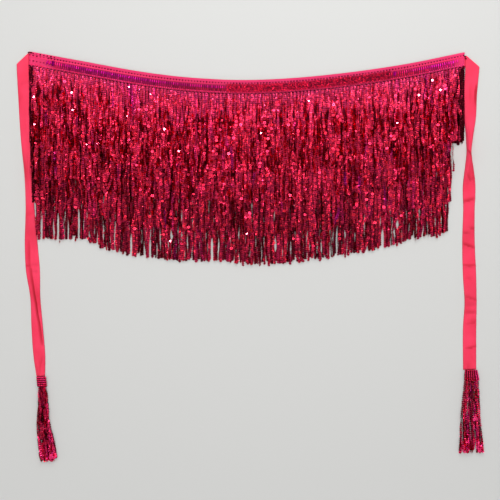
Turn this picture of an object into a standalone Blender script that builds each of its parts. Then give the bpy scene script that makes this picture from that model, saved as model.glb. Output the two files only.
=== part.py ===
"""Sequin-fringed hip scarf laid flat, face up.

A curved waistband and four tiers of sequin fringe are sewn to a backing panel.
A cloth tie is sewn to each end of the waistband, folded down beside the fringe,
and ends in a tassel of the same sequin strings.

Metres. +X runs along the waistband, +Y points to the waist and +Z points up, off
the surface it lies on. The origin is under the middle of the whole scarf.
"""

import math
from collections import namedtuple

import bmesh
import bpy

MM = 0.001

# Cloth and gaps
CLOTH = 1.2 * MM
SEAM_GAP = 0.3 * MM
FLOOR_CLEARANCE = 0.4 * MM

# Waistband
BAND_HEIGHT = 30 * MM
BAND_LEFT, BAND_RIGHT = -456.2 * MM, 442.6 * MM
BAND_BASE = CLOTH + SEAM_GAP
BAND_COLUMNS = 48

# Fringe
TIERS = 4
TIER_STEP = 62 * MM
TAPE_HEIGHT = 9 * MM
TAPE_THICKNESS = 1.5 * MM
LOCKS_PER_TIER = 57
LOCK_LENGTH = 158 * MM
LOCK_WIDTH = 11.6 * MM
LOCK_LOW_WIDTH = 10.6 * MM
LOCK_TIP_WIDTH = 6.5 * MM
LOCK_THICKNESS = 2.6 * MM
LOCK_TIP_SHARE = 0.7
LOCK_GAP = 0.5 * MM
LOCK_STATION = TIER_STEP / 2
ROOT_DEPTH = 2 * MM
ROOT_INSET = 0.25 * MM
LONG_RIPPLE = 4 * MM
SHORT_RIPPLE = 3 * MM
SWAY = 2.2 * MM
SWAY_WAVE = 72 * MM

# Backing panel
PANEL_DROP = (TIERS - 1) * TIER_STEP + 20 * MM
PANEL_TOP_INSET = 13 * MM
PANEL_LOW_INSET = 5 * MM
PANEL_ROWS = 4

# Ties
TIE_COLUMNS = 4
TIE_RING_STEP = 26 * MM
TIE_BEND_RADIUS = 0.9 * MM
TIE_BEND_RINGS = 5
TIE_LEVEL_END = 34 * MM
TIE_FLOOR_START = 95 * MM

# Tassels
TASSEL_HEAD_HEIGHT = 21 * MM
TASSEL_HEAD_THICKNESS = 6.8 * MM
TASSEL_BEVEL = 0.9 * MM
TASSEL_LOWER_LOCKS = 5
TASSEL_UPPER_LOCKS = 4
TASSEL_ROOT_WIDTH = 3.2 * MM
TASSEL_TIP_WIDTH = 5.2 * MM
TASSEL_LOCK_INSET = 0.5 * MM
TASSEL_UPPER_INSET = 0.12
TASSEL_RAGGED = 5 * MM
TASSEL_STATIONS = 5

WaistPoint = namedtuple("WaistPoint", "x y")
WAIST_LINE = (
    WaistPoint(-457.3 * MM, 424.4 * MM),
    WaistPoint(-352.3 * MM, 405.1 * MM),
    WaistPoint(-228.1 * MM, 382.7 * MM),
    WaistPoint(-124.6 * MM, 370.1 * MM),
    WaistPoint(-0.4 * MM, 365.1 * MM),
    WaistPoint(144.5 * MM, 374.0 * MM),
    WaistPoint(310.1 * MM, 396.0 * MM),
    WaistPoint(442.6 * MM, 422.4 * MM),
)

# The band's section: how far below the waist edge, and how far above its base
SectionPoint = namedtuple("SectionPoint", "below height")
BAND_SECTION = (
    SectionPoint(0.7 * MM, 0),
    SectionPoint(0, 0.8 * MM),
    SectionPoint(0.2 * MM, 2.0 * MM),
    SectionPoint(2.2 * MM, 2.8 * MM),
    SectionPoint(5.0 * MM, 2.5 * MM),
    SectionPoint(6.2 * MM, 1.8 * MM),
    SectionPoint(7.6 * MM, 2.3 * MM),
    SectionPoint(26.0 * MM, 2.3 * MM),
    SectionPoint(27.5 * MM, 1.6 * MM),
    SectionPoint(BAND_HEIGHT, 1.5 * MM),
    SectionPoint(BAND_HEIGHT, 0),
)

# How far each tier's tape reaches to the left and right
TierSpan = namedtuple("TierSpan", "left right")
TIER_SPANS = (
    TierSpan(-450.6 * MM, 434.3 * MM),
    TierSpan(-445.4 * MM, 424.0 * MM),
    TierSpan(-442.3 * MM, 416.7 * MM),
    TierSpan(-437.0 * MM, 408.4 * MM),
)

# How much longer than LOCK_LENGTH the fringe hangs along the scarf
HangPoint = namedtuple("HangPoint", "x extra")
HANG = (
    HangPoint(-450 * MM, 6 * MM),
    HangPoint(-300 * MM, 4 * MM),
    HangPoint(-60 * MM, 8 * MM),
    HangPoint(130 * MM, 5 * MM),
    HangPoint(270 * MM, 0),
    HangPoint(360 * MM, -7 * MM),
    HangPoint(440 * MM, -2 * MM),
)

# Where a tie folds over, and the far end of the stub that is sewn under the band
FoldCorners = namedtuple("FoldCorners", "inner outer stub_inner stub_outer")
LEFT_FOLD = FoldCorners(
    inner=(-457.9 * MM, 420.2 * MM),
    outer=(-482.6 * MM, 396.4 * MM),
    stub_inner=(-445.5 * MM, 418.0 * MM),
    stub_outer=(-445.5 * MM, 390.5 * MM),
)
RIGHT_FOLD = FoldCorners(
    inner=(445.3 * MM, 415.2 * MM),
    outer=(473.7 * MM, 390.8 * MM),
    stub_inner=(435.0 * MM, 413.0 * MM),
    stub_outer=(435.0 * MM, 391.0 * MM),
)

# A tie's shape below its fold: its two edges, and how high its middle arches
TieRow = namedtuple("TieRow", "down inner outer arch")
LEFT_TIE = (
    TieRow(26 * MM, -457.9 * MM, -482.6 * MM, 0),
    TieRow(96 * MM, -455.0 * MM, -479.6 * MM, 1.0 * MM),
    TieRow(199 * MM, -452.7 * MM, -472.6 * MM, 2.6 * MM),
    TieRow(237 * MM, -451.5 * MM, -468.4 * MM, 4.0 * MM),
    TieRow(315 * MM, -446.6 * MM, -464.7 * MM, 3.0 * MM),
    TieRow(398 * MM, -439.5 * MM, -466.4 * MM, 1.0 * MM),
    TieRow(448 * MM, -435.1 * MM, -464.1 * MM, 0.5 * MM),
    TieRow(504 * MM, -434.3 * MM, -455.2 * MM, 3.0 * MM),
    TieRow(564 * MM, -428.9 * MM, -452.7 * MM, 1.6 * MM),
    TieRow(632 * MM, -423.9 * MM, -447.7 * MM, 1.0 * MM),
    TieRow(667 * MM, -424.4 * MM, -442.4 * MM, 3.0 * MM),
)
RIGHT_TIE = (
    TieRow(27 * MM, 444.6 * MM, 473.6 * MM, 0.3 * MM),
    TieRow(83 * MM, 441.5 * MM, 468.9 * MM, 1.5 * MM),
    TieRow(126 * MM, 442.6 * MM, 467.4 * MM, 3.0 * MM),
    TieRow(170 * MM, 446.3 * MM, 460.8 * MM, 8.0 * MM),
    TieRow(203 * MM, 447.3 * MM, 457.1 * MM, 10.5 * MM),
    TieRow(228 * MM, 444.6 * MM, 461.6 * MM, 7.0 * MM),
    TieRow(267 * MM, 440.1 * MM, 465.9 * MM, 2.0 * MM),
    TieRow(319 * MM, 440.7 * MM, 464.5 * MM, 2.0 * MM),
    TieRow(381 * MM, 438.8 * MM, 464.5 * MM, 1.0 * MM),
    TieRow(460 * MM, 440.5 * MM, 467.8 * MM, 0.5 * MM),
    TieRow(509 * MM, 443.4 * MM, 468.4 * MM, 1.5 * MM),
    TieRow(559 * MM, 440.5 * MM, 467.8 * MM, 0.5 * MM),
    TieRow(649 * MM, 440.5 * MM, 467.8 * MM, 0.8 * MM),
)

# A tassel's outline: its two sides at a distance below the top of its head
TasselRow = namedtuple("TasselRow", "down left right")
LEFT_TASSEL = (
    TasselRow(0, -442.6 * MM, -421.4 * MM),
    TasselRow(21 * MM, -440.4 * MM, -419.0 * MM),
    TasselRow(60 * MM, -440.0 * MM, -415.6 * MM),
    TasselRow(97 * MM, -441.6 * MM, -413.0 * MM),
    TasselRow(130 * MM, -439.6 * MM, -404.6 * MM),
    TasselRow(174 * MM, -434.6 * MM, -398.3 * MM),
)
RIGHT_TASSEL = (
    TasselRow(0, 441.6 * MM, 470.4 * MM),
    TasselRow(21 * MM, 441.2 * MM, 473.0 * MM),
    TasselRow(58 * MM, 437.6 * MM, 475.4 * MM),
    TasselRow(98 * MM, 433.8 * MM, 476.2 * MM),
    TasselRow(138 * MM, 432.6 * MM, 480.6 * MM),
    TasselRow(170 * MM, 431.6 * MM, 482.6 * MM),
)

Finish = namedtuple("Finish", "name colour roughness metallic")
BACKING_CLOTH = Finish("backing_cloth", (0.42, 0.01, 0.06, 1), 0.85, 0.0)
SEQUIN_BAND = Finish("sequin_band", (0.62, 0.01, 0.09, 1), 0.35, 0.5)
SEQUIN_FRINGE = Finish("sequin_fringe", (0.45, 0.005, 0.05, 1), 0.3, 0.6)
TIE_CLOTH = Finish("tie_cloth", (0.93, 0.05, 0.11, 1), 0.6, 0.0)


def clear_scene():
    """Remove whatever the scene holds."""
    for obj in list(bpy.data.objects):
        bpy.data.objects.remove(obj, do_unlink=True)


def slope_at(rows, index, key, column):
    """Slope of a table's column at one of its rows, from the rows beside it."""
    before = rows[max(index - 1, 0)]
    after = rows[min(index + 1, len(rows) - 1)]
    rise = getattr(after, column) - getattr(before, column)
    return rise / (getattr(after, key) - getattr(before, key))


def smooth_value(rows, key, column, at):
    """Value of a table's column at a place between its rows, on a smooth curve."""
    last = len(rows) - 2
    index = sum(at > getattr(row, key) for row in rows[1:-1])
    low, high = rows[index], rows[index + 1]
    span = getattr(high, key) - getattr(low, key)
    t = (at - getattr(low, key)) / span
    start = slope_at(rows, index, key, column) * span
    end = slope_at(rows, min(index, last) + 1, key, column) * span
    a, b = getattr(low, column), getattr(high, column)
    bend = t * t * (3 - 2 * t)
    return a + (b - a) * bend + start * t * (1 - t) ** 2 - end * t * t * (1 - t)


def waist_y(x):
    """The waist edge of the scarf at x."""
    return smooth_value(WAIST_LINE, "x", "y", x)


def spread(low, high, count):
    """A number of evenly spaced values, both ends among them."""
    return [low + (high - low) * i / (count - 1) for i in range(count)]


def make_material(finish):
    """The material of a finish, made once."""
    material = bpy.data.materials.get(finish.name)
    if material is None:
        material = bpy.data.materials.new(finish.name)
        material.use_nodes = True
        shader = material.node_tree.nodes["Principled BSDF"]
        shader.inputs["Base Color"].default_value = finish.colour
        shader.inputs["Roughness"].default_value = finish.roughness
        shader.inputs["Metallic"].default_value = finish.metallic
        material.diffuse_color = finish.colour
    return material


def add_object(name, points, faces, finish):
    """An object made of points and faces, with its faces turned outwards."""
    mesh = bpy.data.meshes.new(name)
    mesh.from_pydata(points, [], faces)
    shape = bmesh.new()
    shape.from_mesh(mesh)
    bmesh.ops.recalc_face_normals(shape, faces=shape.faces)
    shape.to_mesh(mesh)
    shape.free()
    mesh.materials.append(make_material(finish))
    obj = bpy.data.objects.new(name, mesh)
    bpy.context.scene.collection.objects.link(obj)
    return obj


def bridge(ring_count, ring_size):
    """Quads between rings of the same size, with a face over each end."""
    faces = []
    for ring in range(ring_count - 1):
        for i in range(ring_size):
            j = (i + 1) % ring_size
            a, b = ring * ring_size, (ring + 1) * ring_size
            faces.append((a + i, a + j, b + j, b + i))
    faces.append(tuple(range(ring_size)))
    faces.append(tuple(range((ring_count - 1) * ring_size, ring_count * ring_size)))
    return faces


def swept(name, rings, finish):
    """A solid through closed rings of points, with both ends filled."""
    points = [point for ring in rings for point in ring]
    return add_object(name, points, bridge(len(rings), len(rings[0])), finish)


def make_panel():
    """The backing panel, flat on the surface, under the band and all the tapes."""
    top_left = BAND_LEFT + PANEL_TOP_INSET
    top_right = BAND_RIGHT - PANEL_TOP_INSET
    low_left = TIER_SPANS[-1].left + PANEL_LOW_INSET
    low_right = TIER_SPANS[-1].right - PANEL_LOW_INSET
    drop = BAND_HEIGHT + PANEL_DROP
    rings = []
    for share in spread(0, 1, BAND_COLUMNS + 1):
        ring = []
        for depth in spread(0.0, 1.0, PANEL_ROWS):
            left = top_left + (low_left - top_left) * depth
            right = top_right + (low_right - top_right) * depth
            x = left + (right - left) * share
            ring.append((x, waist_y(x) - drop * depth - SEAM_GAP))
        flat = [(x, y, 0) for x, y in ring]
        raised = [(x, y, CLOTH) for x, y in reversed(ring)]
        rings.append(flat + raised)
    return swept("backing_panel", rings, BACKING_CLOTH)


def make_waistband():
    """The waistband: a doubled strip with a rolled upper rim and two sewn grooves."""
    rings = []
    for x in spread(BAND_LEFT, BAND_RIGHT, BAND_COLUMNS + 1):
        edge = waist_y(x)
        rings.append([(x, edge - p.below, BAND_BASE + p.height) for p in BAND_SECTION])
    return swept("waistband", rings, SEQUIN_BAND)


def lay_height(tier, drop):
    """Height of the underside of a tier's locks, at a distance below its tape's top.

    A tier lies on the panel first, then on the locks of the tier under it. The last
    tier runs off the panel and down to the surface.
    """
    on_panel = CLOTH + SEAM_GAP
    if drop <= LOCK_STATION:
        return on_panel
    if tier == TIERS - 1:
        settled = FLOOR_CLEARANCE
    else:
        below = lay_height(tier + 1, max(drop - TIER_STEP, 0))
        settled = below + LOCK_THICKNESS + LOCK_GAP
    climb = min((drop - LOCK_STATION) / LOCK_STATION, 1)
    return on_panel + (settled - on_panel) * climb


def fringe_y(tier, x, drop):
    """Y of a point that lies a distance below the top of a tier's tape."""
    return waist_y(x) - BAND_HEIGHT - SEAM_GAP - tier * TIER_STEP - drop


def lock_length(tier, index, x):
    """Length of a lock from the top of its tape, a little different for each."""
    long_ripple = LONG_RIPPLE * math.sin(0.9 * index + 2 * tier)
    short_ripple = SHORT_RIPPLE * math.sin(2.3 * index + tier)
    extra = smooth_value(HANG, "x", "extra", x)
    return LOCK_LENGTH + extra + long_ripple + short_ripple


def sway(tier, x, drop):
    """Sideways drift of a lock, which gathers the locks in clumps at their tips."""
    wave = math.sin(2 * math.pi * x / SWAY_WAVE + 1.7 * tier)
    return SWAY * wave * (drop / LOCK_LENGTH) ** 2


def lock_rings(tier, index, root_x):
    """Rings of a three-sided lock: a ridge over a flat underside."""
    length = lock_length(tier, index, root_x)
    stations = [n * LOCK_STATION for n in range(1, 5)] + [length]
    widths = [LOCK_WIDTH] * 3 + [LOCK_LOW_WIDTH, LOCK_TIP_WIDTH]
    root_y = fringe_y(tier, root_x, TAPE_HEIGHT - ROOT_DEPTH)
    base = CLOTH + SEAM_GAP + ROOT_INSET
    top = base + TAPE_THICKNESS - 2 * ROOT_INSET
    half = LOCK_WIDTH / 2
    rings = [
        [
            (root_x - half, root_y, base),
            (root_x + half, root_y, base),
            (root_x, root_y, top),
        ]
    ]
    for drop, width in zip(stations, widths):
        x = root_x + sway(tier, root_x, drop)
        z = lay_height(tier, drop)
        half = width / 2
        rise = LOCK_THICKNESS * (LOCK_TIP_SHARE if drop == length else 1)
        rings.append(
            [
                (x - half, fringe_y(tier, x - half, drop), z),
                (x + half, fringe_y(tier, x + half, drop), z),
                (x, fringe_y(tier, x, drop), z + rise),
            ]
        )
    return rings


def fuse(backing, locks):
    """Join locks to the backing that holds their roots, as one solid."""
    points, faces = [], []
    for rings in locks:
        start = len(points)
        points += [point for ring in rings for point in ring]
        for face in bridge(len(rings), len(rings[0])):
            faces.append(tuple(start + corner for corner in face))
    cutter = add_object(backing.name + "_locks", points, faces, SEQUIN_FRINGE)
    cutter.hide_render = True
    cutter.display_type = "WIRE"
    union = backing.modifiers.new("locks", "BOOLEAN")
    union.operation = "UNION"
    union.object = cutter
    return backing


def make_tier(tier):
    """A tier of fringe: a narrow tape with its locks hanging from its lower edge."""
    span = TIER_SPANS[tier]
    base = CLOTH + SEAM_GAP
    top = base + TAPE_THICKNESS
    rings = []
    for x in spread(span.left, span.right, LOCKS_PER_TIER + 1):
        high, low = fringe_y(tier, x, 0), fringe_y(tier, x, TAPE_HEIGHT)
        rings.append([(x, high, base), (x, high, top), (x, low, top), (x, low, base)])
    tape = swept(f"fringe_tier_{tier + 1}", rings, SEQUIN_FRINGE)
    pitch = (span.right - span.left) / LOCKS_PER_TIER
    roots = [span.left + (i + 0.5) * pitch for i in range(LOCKS_PER_TIER)]
    return fuse(tape, [lock_rings(tier, i, x) for i, x in enumerate(roots)])


def tie_lift(down):
    """How high a tie lies: on its own stub below the fold, then on the surface."""
    fall = (down - TIE_LEVEL_END) / (TIE_FLOOR_START - TIE_LEVEL_END)
    fall = min(max(fall, 0), 1)
    return 2 * TIE_BEND_RADIUS * (1 - fall * fall * (3 - 2 * fall))


def tie_row(start, end, height, arch):
    """Points across a tie from one edge to the other, arched in the middle."""
    row = []
    for share in spread(0, 1, TIE_COLUMNS + 1):
        x = start[0] + (end[0] - start[0]) * share
        y = start[1] + (end[1] - start[1]) * share
        rise = arch * (1 - (2 * share - 1) ** 2)
        row.append((x, y, height + rise))
    return row


def fold_rows(fold):
    """Rows of a tie from its sewn stub to the far side of its diagonal fold."""
    floor = CLOTH / 2
    along = (fold.outer[0] - fold.inner[0], fold.outer[1] - fold.inner[1])
    length = math.hypot(*along)
    side = -1 if fold.outer[0] < fold.inner[0] else 1
    outward = (-side * along[1] / length, side * along[0] / length)
    rows = [tie_row(fold.stub_inner, fold.stub_outer, floor, 0)]
    for angle in spread(-math.pi / 2, math.pi / 2, TIE_BEND_RINGS):
        push = TIE_BEND_RADIUS * math.cos(angle)
        height = floor + TIE_BEND_RADIUS * (1 + math.sin(angle))
        ends = [
            (corner[0] + outward[0] * push, corner[1] + outward[1] * push)
            for corner in (fold.inner, fold.outer)
        ]
        rows.append(tie_row(*ends, height, 0))
    return rows


def make_tie(name, fold, table):
    """A tie: a strip of cloth from its stub, over the fold and down to its tassel."""
    rows = fold_rows(fold)
    first, last = table[0].down, table[-1].down
    count = round((last - first) / TIE_RING_STEP) + 1
    for down in spread(first, last, count):
        inner = smooth_value(table, "down", "inner", down)
        outer = smooth_value(table, "down", "outer", down)
        arch = max(smooth_value(table, "down", "arch", down), 0)
        y = fold.inner[1] - down
        height = CLOTH / 2 + tie_lift(down)
        rows.append(tie_row((inner, y), (outer, y), height, arch))
    width = TIE_COLUMNS + 1
    faces = []
    for row in range(len(rows) - 1):
        for column in range(TIE_COLUMNS):
            a = row * width + column
            faces.append((a, a + 1, a + 1 + width, a + width))
    points = [point for row in rows for point in row]
    tie = add_object(name, points, faces, TIE_CLOTH)
    wall = tie.modifiers.new("cloth", "SOLIDIFY")
    wall.thickness = CLOTH
    wall.offset = 0
    return tie


def tassel_lock(table, top, share, height, length):
    """Rings of one tassel lock at a share of the way across the tassel."""
    start = TASSEL_HEAD_HEIGHT - 2 * ROOT_DEPTH
    rings = []
    for down in spread(start, length, TASSEL_STATIONS):
        run = (down - start) / (length - start)
        left = smooth_value(table, "down", "left", down)
        right = smooth_value(table, "down", "right", down)
        width = TASSEL_ROOT_WIDTH + (TASSEL_TIP_WIDTH - TASSEL_ROOT_WIDTH) * run
        inset = width / 2 + TASSEL_LOCK_INSET
        x = left + inset + (right - left - 2 * inset) * share
        y = top - down
        rings.append(
            [
                (x - width / 2, y, height),
                (x + width / 2, y, height),
                (x, y, height + LOCK_THICKNESS),
            ]
        )
    return rings


def make_tassel(name, fold, tie, table):
    """A tassel: a rolled head of fringe tape, with two layers of locks below it."""
    top = fold.inner[1] - tie[-1].down - SEAM_GAP
    rings = []
    for down in (0, TASSEL_HEAD_HEIGHT):
        left = smooth_value(table, "down", "left", down)
        right = smooth_value(table, "down", "right", down)
        y = top - down
        rings.append(
            [
                (left, y, 0),
                (right, y, 0),
                (right, y, TASSEL_HEAD_THICKNESS),
                (left, y, TASSEL_HEAD_THICKNESS),
            ]
        )
    head = swept(name, rings, SEQUIN_FRINGE)
    bevel = head.modifiers.new("rounding", "BEVEL")
    bevel.width = TASSEL_BEVEL
    bevel.segments = 1
    lower = FLOOR_CLEARANCE + TASSEL_BEVEL / 2
    upper = lower + LOCK_THICKNESS + SEAM_GAP
    length = table[-1].down
    locks = []
    for i, share in enumerate(spread(0, 1, TASSEL_LOWER_LOCKS)):
        reach = length - TASSEL_RAGGED * (1 + math.sin(2.1 * i))
        locks.append(tassel_lock(table, top, share, lower, reach))
    inset = TASSEL_UPPER_INSET
    for i, share in enumerate(spread(inset, 1 - inset, TASSEL_UPPER_LOCKS)):
        reach = length - TASSEL_RAGGED * (1.4 + math.sin(1.3 * i + 1))
        locks.append(tassel_lock(table, top, share, upper, reach))
    return fuse(head, locks)


def main():
    """Build every piece of the scarf."""
    clear_scene()
    make_panel()
    make_waistband()
    for tier in range(TIERS):
        make_tier(tier)
    make_tie("tie_left", LEFT_FOLD, LEFT_TIE)
    make_tie("tie_right", RIGHT_FOLD, RIGHT_TIE)
    make_tassel("tassel_left", LEFT_FOLD, LEFT_TIE, LEFT_TASSEL)
    make_tassel("tassel_right", RIGHT_FOLD, RIGHT_TIE, RIGHT_TASSEL)


main()
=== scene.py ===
"""Looks of a sequin-fringed hip scarf that lies flat, face up, seen from above.

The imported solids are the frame. Over them this script lays a backing panel of knit, a
ribbed waistband, four tiers of sequin strings, two ribbon ties and their tassels.
Sizes are metres, or millimetres where a docstring says so, with +X along the waistband,
+Y to the waist and +Z up.
"""

from __future__ import annotations

import logging
import math
from collections.abc import Callable, Iterable, Sequence
from dataclasses import dataclass, field
from enum import Enum
from functools import partial
from typing import TypeVar

import bmesh
import bpy
import numpy as np
from bpy.types import ID, Material, Mesh, Node, NodeSocket, NodeTree, Object
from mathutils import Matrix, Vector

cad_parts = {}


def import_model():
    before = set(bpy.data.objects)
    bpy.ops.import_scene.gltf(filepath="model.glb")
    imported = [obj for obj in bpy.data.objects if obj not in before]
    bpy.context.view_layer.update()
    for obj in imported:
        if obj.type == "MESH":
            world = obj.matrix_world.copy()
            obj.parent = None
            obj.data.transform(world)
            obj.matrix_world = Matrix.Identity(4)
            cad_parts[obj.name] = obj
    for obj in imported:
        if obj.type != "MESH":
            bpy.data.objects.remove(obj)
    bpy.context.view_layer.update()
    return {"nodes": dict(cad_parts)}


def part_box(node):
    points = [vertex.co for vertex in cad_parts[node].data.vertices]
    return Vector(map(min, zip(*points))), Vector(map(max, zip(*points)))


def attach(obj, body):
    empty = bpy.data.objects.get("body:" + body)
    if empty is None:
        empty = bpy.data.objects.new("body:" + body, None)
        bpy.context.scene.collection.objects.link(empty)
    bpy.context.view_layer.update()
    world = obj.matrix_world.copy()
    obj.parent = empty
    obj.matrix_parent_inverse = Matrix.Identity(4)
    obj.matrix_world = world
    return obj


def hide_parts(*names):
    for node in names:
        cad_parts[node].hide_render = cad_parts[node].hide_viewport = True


LOG = logging.getLogger("hip_scarf")
MM = 0.001
ANY_PHASE = (0, 6.3)
SPARK_LAMP = (-0.35, 0.25, 2.0)

Point = tuple[float, float, float]
Pairs = tuple[tuple[float, float], ...]
Inputs = dict[str | int, object]
Row = TypeVar("Row")


class Side(Enum):
    """Which end of the waistband a tie or a tassel belongs to."""

    LEFT = "left"
    RIGHT = "right"


def linear(hex_colour: str) -> tuple[float, ...]:
    """Turn an sRGB hex colour into linear values.

    Args:
        hex_colour: Six hex digits after a hash sign.

    Returns:
        Linear red, green and blue, and an alpha of 1.
    """
    parts = [int(hex_colour[i : i + 2], 16) / 255 for i in (1, 3, 5)]
    return (*(c / 12.92 if c <= 0.04045 else ((c + 0.055) / 1.055) ** 2.4 for c in parts), 1.0)


def table(kind: type[Row], *rows: tuple) -> tuple[Row, ...]:
    """The rows of a table, each as an object of one kind."""
    return tuple(kind(*row) for row in rows)


def new_object(name: str, data: ID) -> Object:
    """Put a mesh, a lamp or a camera in the scene.

    Args:
        name: The object's name.
        data: What the object shows.

    Returns:
        The object, at the origin.
    """
    thing = bpy.data.objects.new(name, data)
    bpy.context.scene.collection.objects.link(thing)
    return thing


def wire(node: Node, inputs: Inputs) -> Node:
    """Give a node's inputs their values and their links.

    Args:
        node: The node.
        inputs: By name or number, a value, a socket, or a node whose first output is meant.

    Returns:
        The same node.
    """
    for key, value in inputs.items():
        source = value.outputs[0] if isinstance(value, Node) else value
        if isinstance(source, NodeSocket):
            node.id_data.links.new(source, node.inputs[key])
        else:
            node.inputs[key].default_value = value
    return node


def add_node(tree: NodeTree, kind: str, inputs: Inputs | None = None, **settings: object) -> Node:
    """Add a node to a tree.

    Args:
        tree: The shader or geometry tree.
        kind: The node's type name.
        inputs: Its values and links, as wire takes them.
        **settings: Properties of the node itself.

    Returns:
        The new node.
    """
    node = tree.nodes.new(kind)
    for key, value in settings.items():
        setattr(node, key, value)
    return wire(node, inputs or {})


@dataclass(frozen=True)
class Finish:
    """A finish that is named for its real material, on one Principled shader."""

    name: str

    def make(self) -> Material:
        """Build the material.

        Returns:
            The material, with what look says.
        """
        material = bpy.data.materials.new(self.name)
        material.use_nodes = True
        tree = material.node_tree
        wire(tree.nodes["Principled BSDF"], self.look(partial(add_node, tree)))
        return material

    def look(self, node: Callable[..., Node]) -> Inputs:
        """The shader's inputs, which each finish says for itself."""
        raise NotImplementedError


@dataclass(frozen=True)
class SequinFilm(Finish):
    """Metallised polyester film, punched and cupped.

    A thin clear skin over a coloured mirror: deep crimson away from the light, pink
    where it faces it, with violet glints where the film is tinted.
    """

    name: str = "metallised_polyester_sequin"
    crimson: str = "#f42a42"
    magenta: str = "#e83064"
    violet: str = "#a01284"
    glance: str = "#d84878"
    roughness: float = 0.24
    # core is the painted dark of each sequin's hole, and edge the painted highlight on its rim.
    core: float = 0.28
    edge: float = 1.3
    spread: float = 0.0
    most: float = 2.2
    skin: float = 0.03
    skin_roughness: float = 0.08

    def look(self, node: Callable[..., Node]) -> Inputs:
        """Colour the film by the points' marks: painted shade and light from the shade mark, and from
        the rim mark a painted dark hole in its middle and a painted highlight on its rim.

        Args:
            node: Adds a node to the tree.

        Returns:
            The shader's inputs.
        """
        chance, violet, shade, rim = (
            node("ShaderNodeAttribute", attribute_name=key).outputs["Fac"]
            for key in ("chance", "violet", "shade", "rim")
        )
        tint = linear(self.crimson)
        for share, colour in ((chance, self.magenta), (violet, self.violet)):
            mix = node("ShaderNodeMix", {0: share, 6: tint, 7: linear(colour)}, data_type="RGBA")
            tint = mix.outputs[2]
        # Painted dark in the middle, at the hole, and a painted highlight at the rim.
        hole_and_rim_light = {"From Min": 0.2, "From Max": 0.85, "To Min": self.core, "To Max": self.edge}
        uneven = {"To Min": 1 + self.spread, "To Max": 1 - self.spread}
        wear = {"To Min": self.roughness * 0.7, "To Max": self.roughness * 1.5}
        hole_and_rim_light, uneven, wear = (
            node("ShaderNodeMapRange", {"Value": mark, **reach})
            for mark, reach in ((rim, hole_and_rim_light), (chance, uneven), (chance, wear))
        )
        for operation, factor in (("MULTIPLY", uneven), ("MULTIPLY", hole_and_rim_light), ("MINIMUM", self.most)):
            shade = node("ShaderNodeMath", {0: shade, 1: factor}, operation=operation)
        shaded = node("ShaderNodeVectorMath", {0: tint, 3: shade}, operation="SCALE")
        return {
            "Base Color": shaded, "Roughness": wear, "Metallic": 1.0,
            "Specular Tint": linear(self.glance), "Coat Weight": self.skin,
            "Coat Roughness": self.skin_roughness,
        }


@dataclass(frozen=True)
class Thread(Finish):
    """Polyester sewing thread: matt, dark where it sinks in between the sequins."""

    colour: str
    roughness: float = 0.75
    gloss: float = 0.03
    ply: float = 0.35 * MM
    relief: float = 0.08 * MM

    def look(self, node: Callable[..., Node]) -> Inputs:
        """Give the thread a fine twist.

        Args:
            node: Adds a node to the tree.

        Returns:
            The shader's inputs.
        """
        place = node("ShaderNodeTexCoord").outputs["Object"]
        wave = {"Vector": place, "Scale": 0.3 / self.ply, "Distortion": 1.0}
        twist = node("ShaderNodeTexWave", wave, bands_direction="DIAGONAL").outputs["Fac"]
        bump = node("ShaderNodeBump", {"Height": twist, "Distance": self.relief, "Strength": 0.6})
        return {
            "Base Color": linear(self.colour), "Roughness": self.roughness,
            "Specular IOR Level": self.gloss, "Normal": bump,
        }


@dataclass(frozen=True)
class Weave(Finish):
    """Woven or knitted cloth: warp and weft as fine crossing ribs, with a soft sheen.

    It lies on the piece's own UV map, which is in metres.
    """

    colour: str
    dark: str
    thread: float
    roughness: float
    sheen: float
    gloss: float
    deepen: float = 0.0
    blotch: float = 45 * MM
    relief: float = 0.12 * MM

    def look(self, node: Callable[..., Node]) -> Inputs:
        """Weave the cloth and darken it by the painted shade in the mark shade, which deepen makes
        redder.

        Args:
            node: Adds a node to the tree.

        Returns:
            The shader's inputs.
        """
        place = node("ShaderNodeTexCoord").outputs["UV"]
        rib = {"Vector": place, "Scale": 0.5 / self.thread, "Distortion": 0.6, "Detail": 1.0}
        warp, weft = (
            node("ShaderNodeTexWave", rib, bands_direction=way).outputs["Fac"] for way in ("X", "Y")
        )
        crossing = node("ShaderNodeMath", {0: warp, 1: weft}, operation="MAXIMUM")
        noise = {"Vector": place, "Scale": 1 / self.blotch, "Detail": 3.0}
        patch = node("ShaderNodeTexNoise", noise).outputs["Fac"]
        blend = node("ShaderNodeMath", {0: crossing, 1: 0.35, 2: patch}, operation="MULTIPLY_ADD")
        depth = node("ShaderNodeMapRange", {"Value": blend, "From Min": 0.3, "From Max": 1.05})
        dye = {0: depth, 6: linear(self.dark), 7: linear(self.colour)}
        colour = node("ShaderNodeMix", dye, data_type="RGBA").outputs[2]
        bump = node("ShaderNodeBump", {"Height": crossing, "Distance": self.relief, "Strength": 0.5})
        # The mark shade is painted shade, such as the ribbons' creases and the webbing's darker rows;
        # deepen takes green and blue down further, so the painted shade is redder.
        painted_shade = node("ShaderNodeAttribute", attribute_name="shade").outputs["Fac"]
        creased_and_shaded = node("ShaderNodeVectorMath", {0: colour, 3: painted_shade}, operation="SCALE")
        redder = node("ShaderNodeMapRange", {"Value": painted_shade, "To Min": 1 - self.deepen, "To Max": 1.0})
        tint = node("ShaderNodeCombineXYZ", {0: 1.0, 1: redder, 2: redder})
        deep = node("ShaderNodeVectorMath", {0: creased_and_shaded, 1: tint}, operation="MULTIPLY")
        return {
            "Base Color": deep, "Normal": bump, "Roughness": self.roughness,
            "Specular IOR Level": self.gloss, "Sheen Weight": self.sheen, "Sheen Roughness": 0.4,
        }


@dataclass(frozen=True)
class PaintedFloor(Finish):
    """A plain pale studio floor, matt."""

    name: str = "matt_studio_paint"
    colour: str = "#cfcfcd"
    roughness: float = 0.9

    def look(self, node: Callable[..., Node]) -> Inputs:
        """A flat matt paint."""
        return {"Base Color": linear(self.colour), "Roughness": self.roughness}


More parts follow.
